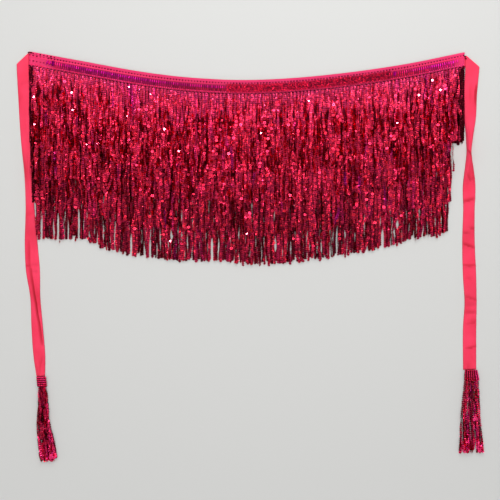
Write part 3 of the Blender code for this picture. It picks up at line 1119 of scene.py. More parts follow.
@dataclass
class Tier:
    """One tier of the fringe, with its number from 0 at the top, and its random numbers."""

    fringe: TieredFringe
    number: int
    plan: TierPlan
    rng: np.random.Generator

    @property
    def lowest(self) -> bool:
        """Whether it is the lowest tier."""
        return self.number == self.fringe.scarf.tiers - 1

    def violet_of(self, x: float, drop: np.ndarray) -> np.ndarray:
        """How violet one string is along its length: in stretches, and more in places.

        Args:
            x: Where the string hangs.
            drop: Distances below the top of its tape.

        Returns:
            Shares from 0 to 1.
        """
        rng = self.rng
        near = any(abs(x - at * MM) < reach * MM for at, reach in self.fringe.violet_places)
        share = 0.42 if near and self.number < 2 else 0.12
        if rng.random() > share:
            return np.full(len(drop), max(rng.normal(0.0, 0.1), 0))
        middle = rng.uniform(0, 150) * MM
        reach = rng.uniform(14, 45) * MM
        return rng.uniform(0.4, 0.9) * np.exp(-(((drop - middle) / reach) ** 2))

    def roll_of(self, drop: np.ndarray, level: float) -> np.ndarray:
        """How a string twists: least at its sewn end, and where it lies low.

        Args:
            drop: Distances below the top of its tape.
            level: How high the string lies, from -1 to 1.

        Returns:
            The roll at each point, in radians.
        """
        rng, count = self.rng, len(drop)
        if self.number == 0:
            twist = read_at(drop, ((0, 0.05), (18, 0.12), (34, 0.4), (60, 0.6)))
            start = rng.choice([-1, 1]) * rng.normal(0.38, 0.16)
            return start + (rng.normal(0, 1, count) * twist).cumsum()
        if level < 0.1:
            return rng.normal(0, 0.25) + rng.normal(0, 0.12, count).cumsum()
        if self.number == 1:
            return rng.uniform(0, 2 * math.pi) + rng.normal(0, 0.6, count).cumsum()
        twist = read_at(drop, ((80, 0.6), (140, 0.25)))
        steps = (rng.normal(0, 1, count) * twist)[::-1].cumsum()[::-1]
        return steps + rng.normal(0, 0.5)

    def size_of(self, drop: np.ndarray, front: float) -> np.ndarray:
        """How wide the sequins of a string show: least at its loop, then in turns.

        Args:
            drop: Distances below the top of its tape.
            front: How far the string lies in front, from 0 to 1.

        Returns:
            What to multiply the size of a sequin with.
        """
        wave = self.rng.uniform(24, 56) * MM
        turn = 0.5 + 0.5 * np.sin(2 * math.pi * drop / wave + self.rng.uniform(*ANY_PHASE))
        size = 1 - (0.14 if self.lowest else 0.3) * front * turn
        if self.number == 0:
            size *= read_at(drop, ((8, 0.8), (26, 0.86), (50, 1.0)))
        return size

    def string_line(self, root: float, x: float, clump: float, level: float) -> Line:
        """Lay one string.

        Args:
            root: Where its loop is sewn.
            x: Where it hangs, below the loop.
            clump: The middle of the clump that it gathers to.
            level: From -1 for a string that lies lowest to 1 for one that lies highest.

        Returns:
            The string's guide line.
        """
        fringe, scarf, rng = self.fringe, self.fringe.scarf, self.rng
        front = float(np.interp(level, [-0.2, 0.4], [0, 1]))
        length = fringe.length + fringe.extra_length(x) + rng.normal(0, 0.4) * fringe.ragged
        length -= (1 - front) * rng.uniform(0, 6) * MM
        count = int(length / fringe.point_step) + 1
        drop = np.linspace(scarf.tape_height * fringe.sewn_share, length, count)
        down = drop + self.number * scarf.tier_step
        run = drop / length
        opened = 1 - np.exp(-drop / fringe.loop_run)
        xs = root + (x - root) * opened + self.plan.gather * front * (clump - x) * run**2
        xs += rng.normal(0, 0.006 if self.lowest else 0.01) * drop
        mess = 1.0
        for at, wide, gain in fringe.tangles:
            mess += gain * math.exp(-(((x - at * MM) / (wide * MM)) ** 2))
        wave = rng.uniform(34, 90) * MM
        swing = read_at(drop, ((0, 0), (20, mess), (80, 1.0)))
        xs += fringe.sway * swing * np.sin(2 * math.pi * drop / wave + rng.uniform(*ANY_PHASE))
        if rng.random() < fringe.stray_share * front:
            hook = rng.choice([-1, 1]) * rng.uniform(3, 11) * MM
            xs += hook * np.clip((run - 0.86) / 0.14, 0, 1) ** 1.6
        if self.number > 1:
            xs = fringe.opened(xs, down, x)
        scatter = level * fringe.scatter * np.clip(run * 4, 0.2, 1)
        zs = np.maximum(fringe.lay_height(self.number, drop) + scatter, fringe.floor_height)
        # Painted shade and light: low strings are painted dark as shade between the high ones, which are
        # painted brighter; the film is painted darker towards the hem and in the patches, and near the
        # first tier's loops every string is painted one even brightness.
        dim = self.plan.lowest
        tone = float(np.interp(level, [-1, -0.2, 0.3, 1], [dim, 1.5 * dim, 1.15, 1.36]))
        tone *= max(rng.normal(1, 0.1), 0.6)
        even = np.exp(-drop / fringe.even_reach) if self.number == 0 else np.zeros(count)
        roll = self.roll_of(drop, level)
        violet = self.violet_of(x, drop) * (0.15 + 0.85 * front)
        shade = fringe.shade_at(down) * fringe.patched(xs, down)
        shade *= 1 - fringe.violet_dim * violet
        shade *= tone + (fringe.even_tone - tone) * even
        points = np.column_stack([xs, scarf.below_band(xs, down), zs])
        return Line(points, roll, shade, violet, self.size_of(drop, front))

    def dark_line(self, x: float, count: int = 14) -> Line:
        """Lay a string that hangs in the shadow of a tie, painted dark for that shadow.

        Args:
            x: Where it hangs.
            count: Its number of points.

        Returns:
            The string's guide line, low and painted dark.
        """
        scarf, rng = self.fringe.scarf, self.rng
        length = self.fringe.length - rng.uniform(0, 12) * MM
        drop = np.linspace(scarf.tape_height * self.fringe.dark_sewn_share, length, count)
        wave = rng.uniform(12, 20) * MM
        xs = x + rng.uniform(0.2, 0.7) * MM * np.sin(drop / wave + rng.uniform(*ANY_PHASE))
        ys = scarf.below_band(xs, drop + self.number * scarf.tier_step)
        # The tie's shadow is painted on, with a few sequins painted brighter.
        shade = np.full(count, 0.07) + 0.7 * (rng.random(count) < 0.05)
        points = np.column_stack([xs, ys, np.full(count, self.fringe.floor_height)])
        return Line(points, rng.normal(0, 0.15, count).cumsum(), shade)

    def lines(self) -> list[Line]:
        """Every string of the tier.

        Returns:
            The strings' guide lines.
        """
        fringe, plan, rng = self.fringe, self.plan, self.rng
        left, right = plan.left * MM, plan.right * MM
        pitch = (right - left) / (plan.loops - 0.5)
        steps = rng.uniform(0.6, 1.4, 2 * plan.loops) * fringe.clump_pitch
        clumps = left - fringe.clump_pitch / 2 + steps.cumsum()
        lines = []
        for loop in range(plan.loops):
            root = left + pitch * (loop + 0.25) + rng.uniform(-0.08, 0.08) * pitch
            for side in (-1, 1):
                x = root + side * pitch * 0.25 * rng.uniform(0.8, 1.2)
                turn = (2 * loop + (side + 1) / 2) * fringe.golden + rng.uniform(-0.12, 0.12)
                clump = float(clumps[np.abs(clumps - x).argmin()])
                lines.append(self.string_line(root, x, clump, 2 * (turn % 1) - 1))
        for start, end in plan.dark:
            lines += [self.dark_line(float(x) * MM) for x in np.arange(start, end, fringe.dark_pitch)]
        return lines


@dataclass
class Discs:
    """A mesh of single flat sequins, each with a hole in its middle."""

    name: str
    corners: int = 12
    hole: float = 0.3
    thickness: float = 0.15 * MM
    points: list[Point] = field(default_factory=list)
    faces: list[tuple[int, ...]] = field(default_factory=list)
    chances: list[float] = field(default_factory=list)
    shades: list[float] = field(default_factory=list)

    def add(
        self, centre: np.ndarray, facing: np.ndarray, radius: float, chance: float, shade: float
    ) -> None:
        """Add one sequin.

        Args:
            centre: The middle of its face.
            facing: The direction that it faces, of any length.
            radius: Its radius.
            chance: Its tint, from 0 to 1.
            shade: How bright its film is.
        """
        normal = facing / np.linalg.norm(facing)
        side = np.cross(normal, [0.0, 1.0, 0.0])
        side /= np.linalg.norm(side)
        ahead = np.cross(side, normal)
        start, count = len(self.points), self.corners
        for reach, depth in ((1.0, 0.0), (1.0, 1.0), (self.hole, 1.0), (self.hole, 0.0)):
            for i in range(count):
                angle = 2 * math.pi * i / count
                away = side * math.cos(angle) - ahead * math.sin(angle)
                place = centre + radius * reach * away - normal * (depth * self.thickness)
                self.points.append(tuple(float(value) for value in place))
        for ring in range(4):
            near, far = start + ring * count, start + (ring + 1) % 4 * count
            for i in range(count):
                j = (i + 1) % count
                self.faces.append((near + i, near + j, far + j, far + i))
        self.chances += [chance] * (4 * count)
        self.shades += [shade] * (4 * count)

    def build(self, finish: Material) -> Object:
        """Make the mesh of every sequin added so far, with its faces outwards.

        Args:
            finish: The sequins' film.

        Returns:
            The finished discs.
        """
        mesh = bpy.data.meshes.new(self.name)
        mesh.from_pydata(self.points, [], self.faces)
        # The rim mark, which the film paints as a dark middle by the hole and a highlight at the rim.
        ring = np.repeat([1.0, 1.0, self.hole, self.hole], self.corners)
        rims = np.tile(ring, len(self.points) // len(ring))
        for key, values in (("rim", rims), ("chance", self.chances), ("shade", self.shades)):
            mark_points(mesh, key, np.array(values))
        turn_outwards(mesh)
        return add_object(self.name, mesh, finish)


@dataclass
class LooseDiscs:
    """Sequins that have turned face up on the front strings, in short chains.

    None lies where the right tie hangs. The flecks are single ones on the tassels, in
    millimetres.
    """

    fringe: TieredFringe
    chains: int = 360
    pitch: float = 6.4 * MM
    radius: float = 3.2 * MM
    lift: float = 2.3 * MM
    starts_across: tuple[float, float] = (-443, 424)
    starts_down: tuple[float, float] = (16, 322)
    last_down: float = 335 * MM
    tie_from: float = 406 * MM
    tie_below: float = 130 * MM
    tier_shows: float = 96 * MM
    flecks: tuple[Point, ...] = (
        (463.5, -331.0, 8.0), (461.0, -335.5, 7.6), (466.5, -334.5, 7.6), (-410.0, -409.5, 7.4),
        (-405.5, -413.5, 7.2), (-411.5, -415.0, 7.0), (437.5, -399.0, 7.2), (442.0, -402.5, 7.0),
    )

    def build(self) -> None:
        """Lay the chains of discs down the fringe."""
        rng = np.random.default_rng(31)
        scarf = self.fringe.scarf
        discs = Discs("face_up_sequins", 8, 0.36)
        for _ in range(self.chains):
            x = rng.uniform(*self.starts_across) * MM
            down = rng.uniform(*self.starts_down) * MM + min(self.fringe.extra_length(x), 0)
            for _ in range(rng.integers(1, 5)):
                if down > self.last_down or (x > self.tie_from and down > self.tie_below):
                    break
                self.lay(discs, x, down, rng)
                x += rng.normal(0, 0.5) * MM
                down += self.pitch * rng.uniform(0.85, 1.3)
        for fleck in self.flecks:
            tilt = np.array([rng.normal(0, 0.12), rng.normal(0.1, 0.12), 1.0])
            discs.add(np.array(fleck) * MM, tilt, self.radius * 0.85, 1.0, 1.6)
        scarf.keep(discs.build(scarf.finishes.film), "sequin_fringe")

    def lay(self, discs: Discs, x: float, down: float, rng: np.random.Generator) -> None:
        """Lay one disc on the tier that shows at its place.

        Args:
            discs: The mesh of discs.
            x: Its place along X.
            down: Its distance below the band.
            rng: The discs' random numbers.
        """
        fringe, scarf = self.fringe, self.fringe.scarf
        tier = int(np.clip((down - self.tier_shows) // scarf.tier_step, 0, scarf.tiers - 1))
        drop = np.array([down - tier * scarf.tier_step])
        height = float(fringe.lay_height(tier, drop)[0]) + self.lift
        tilt = np.array([rng.normal(0.05, 0.2), rng.normal(0.14, 0.22), 1.0])
        centre = np.array([x, float(scarf.below_band(x, down)), height])
        at, below = np.array([x]), np.array([down])
        # Each disc takes the painted shade and light of the fringe at its place.
        level = float(fringe.shade_at(below)[0] * fringe.patched(at, below)[0])
        shade = rng.uniform(0.75, 1.25) * min(level, 1.1)
        radius = self.radius * rng.uniform(0.7, 1.0)
        discs.add(centre, tilt, radius, rng.uniform(0, 0.7), shade)


@dataclass
class Sparks:
    """Single sequins that lie square to the small lamp, and flash white, in millimetres."""

    scarf: Scarf
    eye: Point
    radius: float = 2.6 * MM
    height: float = 10.8
    places: Pairs = (
        (-367, 337), (-445, 328), (-365, 301), (-443, 272), (-336, 231), (-313, 233), (-249, 349),
        (-205, 334), (-253, 289), (-176, 262), (-147, 217), (120, 320), (22, 254), (374, 363),
        (391, 343), (347, 332), (302, 275), (-7, 47), (-164, 32),
    )

    def build(self) -> None:
        """Lay the flashing sequins on top of the fringe."""
        rng = np.random.default_rng(5)
        discs = Discs("sparks", hole=0.12)
        for place in self.places:
            centre = np.array([*place, self.height]) * MM
            to_lamp, to_eye = np.array(SPARK_LAMP) - centre, np.array(self.eye) - centre
            square = to_lamp / np.linalg.norm(to_lamp) + to_eye / np.linalg.norm(to_eye)
            discs.add(centre, square, self.radius * rng.uniform(0.5, 0.95), 0.5, 1.2)
        self.scarf.keep(discs.build(self.scarf.finishes.flashing), "sequin_fringe")


@dataclass(frozen=True)
class BandStrip:
    """One strip of beads along the waistband, in millimetres below its edge and over its base.

    It names the spans in metres, how bright and how violet it is, whether it is bare
    cloth, whether its violet fades to the middle, and its levels at the band's places.
    """

    name: str
    below: float
    height: float
    row: BeadRow
    spans: Pairs
    shade: float
    violet: float
    bare: bool = False
    fades: bool = False
    levels: tuple[float, ...] = (1.0,) * 6


@dataclass
class Waistband:
    """A doubled webbing strip, covered with packed columns of sequins.

    From the top it has a smooth rolled rim, a sewn groove, a pink row, a strip of tall
    ribs, and a slanted line of stitches over the first row of fringe. In its middle the
    ribs give way to staggered rows of small sequins. The section and the tables of marks
    are in millimetres.
    """

    scarf: Scarf
    columns: int = 180
    base: float = 1.5 * MM
    left_end: float = -455 * MM
    right_end: float = 441 * MM
    stagger_left: float = -48 * MM
    stagger_right: float = 288 * MM
    section: Pairs = (
        (0.8, 0), (0.2, 0.5), (0, 1.1), (0.3, 1.8), (1.2, 2.5), (3.0, 3.0), (4.8, 2.6), (6.0, 1.7),
        (7.4, 1.7), (15, 2.1), (24, 2.0), (26.6, 1.3), (28.4, 1.2), (29.8, 1.1), (30, 0.6),
        (29.8, 0),
    )
    # Painted shade on the webbing, by millimetres below its edge.
    depth: Pairs = (
        (0, 0.72), (2, 0.86), (5.4, 0.9), (6.6, 0.82), (9, 0.7), (12, 0.5), (14, 0.14), (23, 0.14),
        (26, 0.6), (30, 0.45),
    )
    ends: Pairs = ((-457, 1), (-425, 0.75), (-392, 0), (405, 0), (432, 0.75), (443, 1))
    violet: Pairs = (
        (-457, 0.15), (-400, 0.3), (-380, 0.75), (-330, 1.0), (-230, 0.95), (-120, 0.6),
        (-70, 0.75), (-48, 0.3), (288, 0.0), (330, 0.35), (380, 0.75), (420, 0.7), (441, 0.1),
    )
    lower_violet: Pairs = (
        (-457, 1.0), (-190, 0.85), (-130, 0.25), (-48, 0.0), (288, 0.0), (350, 0.35), (390, 0.95),
        (430, 1.0),
    )
    shade: Pairs = (
        (-457, 1.6), (-405, 1.5), (-380, 1.12), (-230, 0.95), (-120, 0.86), (290, 0.88), (330, 1.3),
        (400, 1.7), (425, 1.95), (441, 2.0),
    )
    places: tuple[float, ...] = (-0.405, -0.33, -0.06, -0.04, 0.29, 0.4)

    def build(self) -> None:
        """Build the webbing, the rows of beads, the sequins and the stitching."""
        low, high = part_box("waistband")
        section = np.array(self.section) * MM
        xs = np.linspace(low.x, high.x, self.columns)
        grid = np.repeat(xs[:, None], len(section), axis=1)
        pucker = 0.12 * MM * np.sin(xs / (2.3 * MM)) * np.sin(xs / (31 * MM))
        raised = section[:, 1] > 2.4 * MM
        ys = self.scarf.waist.y(grid) - section[:, 0]
        zs = self.base + section[:, 1] + np.where(raised, pucker[:, None], 0)
        steps = np.hypot(*np.diff(section, axis=0, prepend=section[-1:]).T)
        around = np.append(steps.cumsum() - steps[0], steps.sum())
        mesh = tube_mesh("webbing", np.stack([grid, ys, zs], axis=-1), xs, around)
        # Painted shade: the webbing is painted darker below its rim, most under the ribs where the gaps
        # between them fall in shade, and goes back to full pink towards its ends.
        deep = read_at(np.broadcast_to(section[:, 0], grid.shape), self.depth)
        mark_points(mesh, "shade", deep + (1.0 - deep) * read_at(grid, self.ends))
        webbing = add_object("webbing", mesh, self.scarf.finishes.band_cloth)
        self.scarf.keep(webbing, "sequin_band", "waistband")
        for strip in self.strips():
            self.set_strip(strip)
        self.build_staggered()
        self.build_stitches()

    def strips(self) -> tuple[BandStrip, ...]:
        """The strips of beads from the rim down.

        Returns:
            The strips.
        """
        whole = ((self.left_end, self.right_end),)
        sides = ((-408 * MM, self.stagger_left), (self.stagger_right, 420 * MM))
        wider = ((-420 * MM, self.stagger_left), (self.stagger_right, 428 * MM))
        outer = ((self.left_end, -54 * MM), (294 * MM, self.right_end))
        marks = ((self.left_end, -404 * MM),)
        pink = BeadRow((3.3, 4.2, 1.5), 2.9, 0.2, 0.12)
        upper = BeadRow((3.2, 7.6, 1.8), 4.4, 0.0, 0.05, 0.08)
        lower = BeadRow((3.2, 7.0, 1.7), 4.4, 0.0, 0.07, 0.12)
        slanted = BeadRow((4.3, 2.1, 1.4), 4.2, -0.6, 0.1)
        mark = BeadRow((4.6, 3.0, 1.8), 6.8, 0.3, 0.7, 0.5)
        pink_levels = (1.1, 1.1, 0.8, 0.78, 0.8, 1.05)
        slanted_levels = (1.1, 1.5, 1.4, 1.05, 1.08, 1.4)
        return table(
            BandStrip,
            ("pink_row", 9.9, 1.9, pink, outer, 1.0, 0.0, True, False, pink_levels),
            ("upper_ribs", 15.8, 2.0, upper, wider, 1.12, 0.78),
            ("lower_ribs", 21.6, 1.9, lower, sides, 0.52, 0.6, False, True),
            ("slanted_row", 26.0, 1.7, slanted, whole, 1.3, 0.1, False, False, slanted_levels),
            ("first_marks", 3.4, 3.3, mark, marks, 0.12, 0.3),
            ("middle_marks", 7.6, 3.0, mark, marks, 0.12, 0.6),
            ("last_marks", 18.5, 3.0, mark, marks, 0.22, 1.0),
        )

    def guide(self, left: float, right: float, below: float, height: float) -> np.ndarray:
        """Points along the band at one distance below its edge.

        Args:
            left: The line's left end.
            right: The line's right end.
            below: How far below the waist edge it runs, in millimetres.
            height: How high over the band's base it runs, in millimetres.

        Returns:
            The points.
        """
        xs = np.linspace(left, right, max(int((right - left) / (3 * MM)), 2))
        ys = self.scarf.waist.y(xs) - below * MM
        return np.column_stack([xs, ys, np.full_like(xs, self.base + height * MM)])

    def set_strip(self, strip: BandStrip) -> None:
        """Set one strip of beads along the band.

        Args:
            strip: The strip.
        """
        lines = []
        for left, right in strip.spans:
            points = self.guide(left, right, strip.below, strip.height)
            xs = points[:, 0]
            shade = np.interp(xs, self.places, strip.levels)
            if not strip.bare:
                shade *= read_at(xs, self.shade) * strip.shade
            violet = read_at(xs, self.violet) * strip.violet
            if strip.fades:
                violet *= read_at(xs, self.lower_violet)
            lines.append(Line(points, shade=shade, violet=violet))
        finishes = self.scarf.finishes
        finish = finishes.band_cloth if strip.bare else finishes.packed
        self.scarf.row_beads("band_" + strip.name, lines, strip.row, finish, "sequin_band")

    def build_staggered(self) -> None:
        """Lay the staggered rows of small sequins in the middle of the band."""
        lines = []
        for row, below in enumerate((10.1, 12.8, 15.5, 18.2, 20.9, 23.6)):
            left = self.stagger_left + 1.5 * MM * (row % 2)
            points = self.guide(left, self.stagger_right, below, 2.7)
            roll = np.random.default_rng(60 + row).normal(0, 0.35, len(points))
            shade = read_at(points[:, 0], ((-50, 0.82), (80, 0.7), (290, 0.6)))
            lines.append(Line(points, roll, shade))
        values = {
            "Spacing": 3.0 * MM, "Sequin Radius": 1.6 * MM, "Thread Radius": 0.1 * MM,
            "Roll Jitter": 0.6, "Film": self.scarf.finishes.packed,
        }
        self.scarf.string_sequins("band_sequins", lines, values, "sequin_band")

    def build_stitches(self) -> None:
        """Sew the dotted line under the rim, the slanted line at the foot, and the join."""
        scarf, finishes = self.scarf, self.scarf.finishes
        dots = BeadRow((3.4, 3.1, 1.8), 6.2, 0.1, 0.15, 0.3)
        dashes = BeadRow((6.6, 3.3, 1.8), 7.6, -0.4, 0.12, 0.2)
        join = BeadRow((3.4, 14, 1.8), 3.4, -0.15, 0.2, 0.2)
        knot = BeadRow((4.6, 3.4, 2.2), 2.6, 0.2, 0.3, 0.2)
        for name, left, below, height, row in (
            ("upper_stitches", -416 * MM, 6.9, 2.1, dots),
            ("lower_stitches", self.left_end, 29.6, 1.5, dashes),
        ):
            line = Line(self.guide(left, self.right_end, below, height))
            scarf.row_beads(name, [line], row, finishes.stitch, "sequin_band")
        joins = []
        for left, right in ((297, 300), (-408, -406), (-419, -413)):
            points = self.guide(left * MM, right * MM, 16.5, 2.9)
            tint = np.full(len(points), 0.8)
            joins.append(Line(points, shade=0.75 * tint, violet=tint))
        scarf.row_beads("band_join", joins, join, finishes.packed, "sequin_band")
        ends = (
            ((-457.5, 421.6, 3.6), (-454.5, 421.4, 4.8), (-451.5, 420.8, 4.9)),
            ((443.6, 413.2, 3.9), (444.8, 411.4, 4.2), (445.4, 409.0, 4.0)),
        )
        knots = [Line(np.array(end) * MM) for end in ends]
        scarf.row_beads("corner_knots", knots, knot, finishes.stitch, "sequin_band")


@dataclass
class BackingPanel:
    """The knit panel that the tapes are sewn to, which shows only from below."""

    scarf: Scarf
    top: float = 1.2 * MM
    thickness: float = 0.95 * MM
    columns: int = 90
    rows: int = 24
    hem: float = 4 * MM
    below_last: float = 20 * MM
    slope_left: float = 6.2 * MM
    slope_right: float = 26.2 * MM
    stitch_height: float = 0.27 * MM
    stitch_points: int = 240

    def build(self) -> None:
        """Build the panel and the stitching that shows on its underside."""
        low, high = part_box("backing_panel")
        depth = float(self.scarf.band_height + 3 * self.scarf.tier_step + self.below_last)
        across, along = np.linspace(0, 1, self.columns), np.linspace(0, 1, self.rows)
        share, down = np.meshgrid(across, along, indexing="ij")
        left, right = low.x + self.slope_left * down, high.x - self.slope_right * down
        xs = left + (right - left) * share
        ys = self.scarf.waist.y(xs) - self.scarf.seam - depth * down
        points = np.stack([xs, ys, np.full_like(xs, self.top)], axis=-1)
        mesh = grid_mesh("panel", points[:, ::-1], np.stack([xs, depth * down], axis=-1)[:, ::-1])
        panel = add_object("panel", mesh, self.scarf.finishes.knit)
        solidify(panel, self.thickness)
        self.scarf.keep(panel, "backing_cloth", "backing_panel")
        self.build_stitches(depth, float(low.x), float(high.x))

    def build_stitches(self, depth: float, left: float, right: float) -> None:
        """Sew the rows that hold the band, the tapes and the hem, on the underside.

        Args:
            depth: How deep the panel is.
            left: The panel's left end.
            right: The panel's right end.
        """
        scarf = self.scarf
        tape = scarf.band_height + scarf.tape_height / 2
        downs = [tape + tier * scarf.tier_step for tier in range(scarf.tiers)]
        downs += [self.hem, scarf.band_height - self.hem, depth - self.hem]
        lines = []
        for down in downs:
            share = down / depth
            start, end = left + 8 * MM * share + self.hem, right - 28 * MM * share
            xs = np.linspace(start, end, self.stitch_points)
            ys = scarf.waist.y(xs) - scarf.seam - down
            lines.append(Line(np.column_stack([xs, ys, np.full_like(xs, self.stitch_height)])))
        row = BeadRow((3.2, 0.7, 0.5), 4.6, 0.0, 0.06, 0.15, 4, 3)
        scarf.row_beads("panel_stitches", lines, row, scarf.finishes.stitch, "backing_cloth")


@dataclass(frozen=True)
class Fold:
    """Where a ribbon folds over, and where its stub ends under the band, in millimetres."""

    inner: tuple[float, float]
    outer: tuple[float, float]
    stub_inner: tuple[float, float]
    stub_outer: tuple[float, float]


@dataclass(frozen=True)
class RibbonRow:
    """A ribbon's edges and arch, at a distance below its fold, in millimetres."""

    down: float
    inner: float
    outer: float
    arch: float


@dataclass(frozen=True)
class Crease:
    """A soft crease between two ridges, in millimetres, with painted shade along it.

    Its places are distances below the fold with shares of the way from the inner edge, and dark is how
    strong its painted shade is.
    """

    places: Pairs
    height: float
    width: float
    dark: float


@dataclass
class Ribbon:
    """A satin ribbon tie: its stub under the band, its diagonal fold, and its fall."""

    scarf: Scarf
    side: Side
    fold: Fold
    rows: tuple[RibbonRow, ...]
    creases: tuple[Crease, ...]
    cloth: float = 1.2 * MM
    columns: int = 22
    step: float = 3.0 * MM
    bend_radius: float = 0.9 * MM
    level_end: float = 34.0
    floor_start: float = 95.0
    width: float = 27 * MM
    depth: float = 1.4
    # The creases' painted shade: its strength, its limit, how far it spreads on the soft side and on the
    # sharp side, and how much of a crease is left at its ends; clouds is painted shade in slow waves,
    # and ripples are low waves in the cloth.
    darkness: float = 2.0
    darkest: float = 0.55
    end_fade: float = 0.45
    soft_side: float = 2.0
    sharp_side: float = 0.5
    clouds: float = 0.07
    ripples: float = 0.16
    stub_rows: int = 5
    bend_rows: int = 9
    joining_rows: int = 8
    length: float = field(init=False, default=0.0)

    @property
    def end(self) -> float:
        """Y of the ribbon's lower end, in millimetres."""
        return self.fold.inner[1] - self.rows[-1].down

    def straight(self, start: Sequence[float], end: Sequence[float]) -> np.ndarray:
        """Points from the inner edge to the outer one, from millimetres to metres."""
        share = np.linspace(0, 1, self.columns)[:, None]
        return np.array(start) * MM * (1 - share) + np.array(end) * MM * share

    def folded_rows(self) -> list[np.ndarray]:
        """Rows from the sewn stub to the upper side of the diagonal fold.

        Returns:
            The rows of points.
        """
        floor = self.cloth / 2 / MM
        inner, outer = np.array(self.fold.inner), np.array(self.fold.outer)
        along = (outer - inner) / np.linalg.norm(outer - inner)
        turn = -1 if self.side is Side.LEFT else 1
        outward = np.array([-turn * along[1], turn * along[0]])
        rows = []
        for share in np.linspace(0, 1, self.stub_rows + 1)[:-1]:
            start = np.array(self.fold.stub_inner) * (1 - share) + inner * share
            end = np.array(self.fold.stub_outer) * (1 - share) + outer * share
            rows.append(self.straight([*start, floor], [*end, floor]))
        radius = self.bend_radius / MM
        for angle in np.linspace(-math.pi / 2, math.pi / 2, self.bend_rows):
            push = outward * radius * math.cos(angle)
            height = floor + radius * (1 + math.sin(angle))
            rows.append(self.straight([*(inner + push), height], [*(outer + push), height]))
        return rows

    def falling_rows(self, downs: np.ndarray) -> list[np.ndarray]:
        """Rows of the ribbon's fall, arched in the middle.

        Args:
            downs: Distances below the fold, in millimetres.

        Returns:
            One row of points for each distance.
        """
        places = [row.down for row in self.rows]
        inner, outer, arch = (
            smooth_at(places, [getattr(row, key) for row in self.rows], downs)
            for key in ("inner", "outer", "arch")
        )
        arch = np.maximum(arch, 0)
        fall = np.clip((downs - self.level_end) / (self.floor_start - self.level_end), 0, 1)
        lift = 2 * self.bend_radius / MM * (1 - fall * fall * (3 - 2 * fall))
        share = np.linspace(0, 1, self.columns)
        rows = []
        for i, down in enumerate(downs):
            y, height = self.fold.inner[1] - down, self.cloth / 2 / MM + lift[i]
            row = self.straight([inner[i], y, height], [outer[i], y, height])
            row[:, 2] += arch[i] * MM * (1 - (2 * share - 1) ** 2)
            rows.append(row)
        return rows

    def creased_and_shaded(self, middle: np.ndarray, first: int) -> tuple[np.ndarray, np.ndarray]:
        """Press the creases into the ribbon, and paint shade along them and in slow waves.

        Args:
            middle: The ribbon's middle surface, rows by columns by three.
            first: The first row below the fold.

        Returns:
            The surface with its creases, and the painted shade at each point.
        """
        down = self.fold.inner[1] - middle[..., 1] / MM
        share = np.broadcast_to(np.linspace(0, 1, self.columns), down.shape)
        cloth = np.stack([down, share * self.width / MM], axis=-1)
        rise, shade = np.zeros_like(down), np.ones_like(down)
        for crease in self.creases:
            line = np.array(crease.places, float) * [1, self.width / MM]
            away, along, above = self.distance(cloth, line)
            fade = self.end_fade + (1 - self.end_fade) * np.sin(math.pi * np.clip(along, 0, 1)) ** 0.6
            ridge = np.exp(-(((away - crease.width) / crease.width) ** 2)) * fade
            rise += self.depth * crease.height * ridge
            # Painted shade in the crease, spread wide on its soft side and narrow on the other.
            reach = crease.width * np.where(above, self.soft_side, self.sharp_side)
            dark = min(self.darkness * crease.dark, self.darkest)
            shade *= 1 - dark * np.exp(-((away / reach) ** 2)) * fade
        # Painted shade in slow waves down the ribbon.
        cloud = self.clouds * (1 + np.sin(down / 19 + 2.3 * share))
        shade *= 1 - cloud * np.sin(down / 47) ** 2
        ripple = 1 + np.sin(down / 23) * np.sin(share * 3.1 + down / 61)
        rise += self.ripples * ripple * np.sin(math.pi * share)
        below = np.zeros_like(down)
        below[first:] = 1
        middle = middle.copy()
        middle[..., 2] += rise * below * MM
        return middle, 1 + (shade - 1) * below

    def distance(
        self, points: np.ndarray, line: np.ndarray
    ) -> tuple[np.ndarray, np.ndarray, np.ndarray]:
        """Distance from points to a bent line, how far along it, and on which side.

        Args:
            points: The places on the cloth.
            line: The line's corners.

        Returns:
            Distances, shares of the line's length, and whether a point is on the soft side, where the
            painted shade spreads wide.
        """
        lengths = np.linalg.norm(np.diff(line, axis=0), axis=1)
        starts = np.append(0, lengths.cumsum())
        best, along = np.full(points.shape[:-1], np.inf), np.zeros(points.shape[:-1])
        above = np.zeros(points.shape[:-1], bool)
        for i, length in enumerate(lengths):
            step = (line[i + 1] - line[i]) / length
            run = np.clip((points - line[i]) @ step, 0, length)
            away = np.linalg.norm(points - line[i] - run[..., None] * step, axis=-1)
            turned = (points - line[i]) @ np.array([-step[1], step[0]])
            above = np.where(away < best, turned > 0, above)
            along = np.where(away < best, (starts[i] + run) / starts[-1], along)
            best = np.minimum(away, best)
        return best, along, above

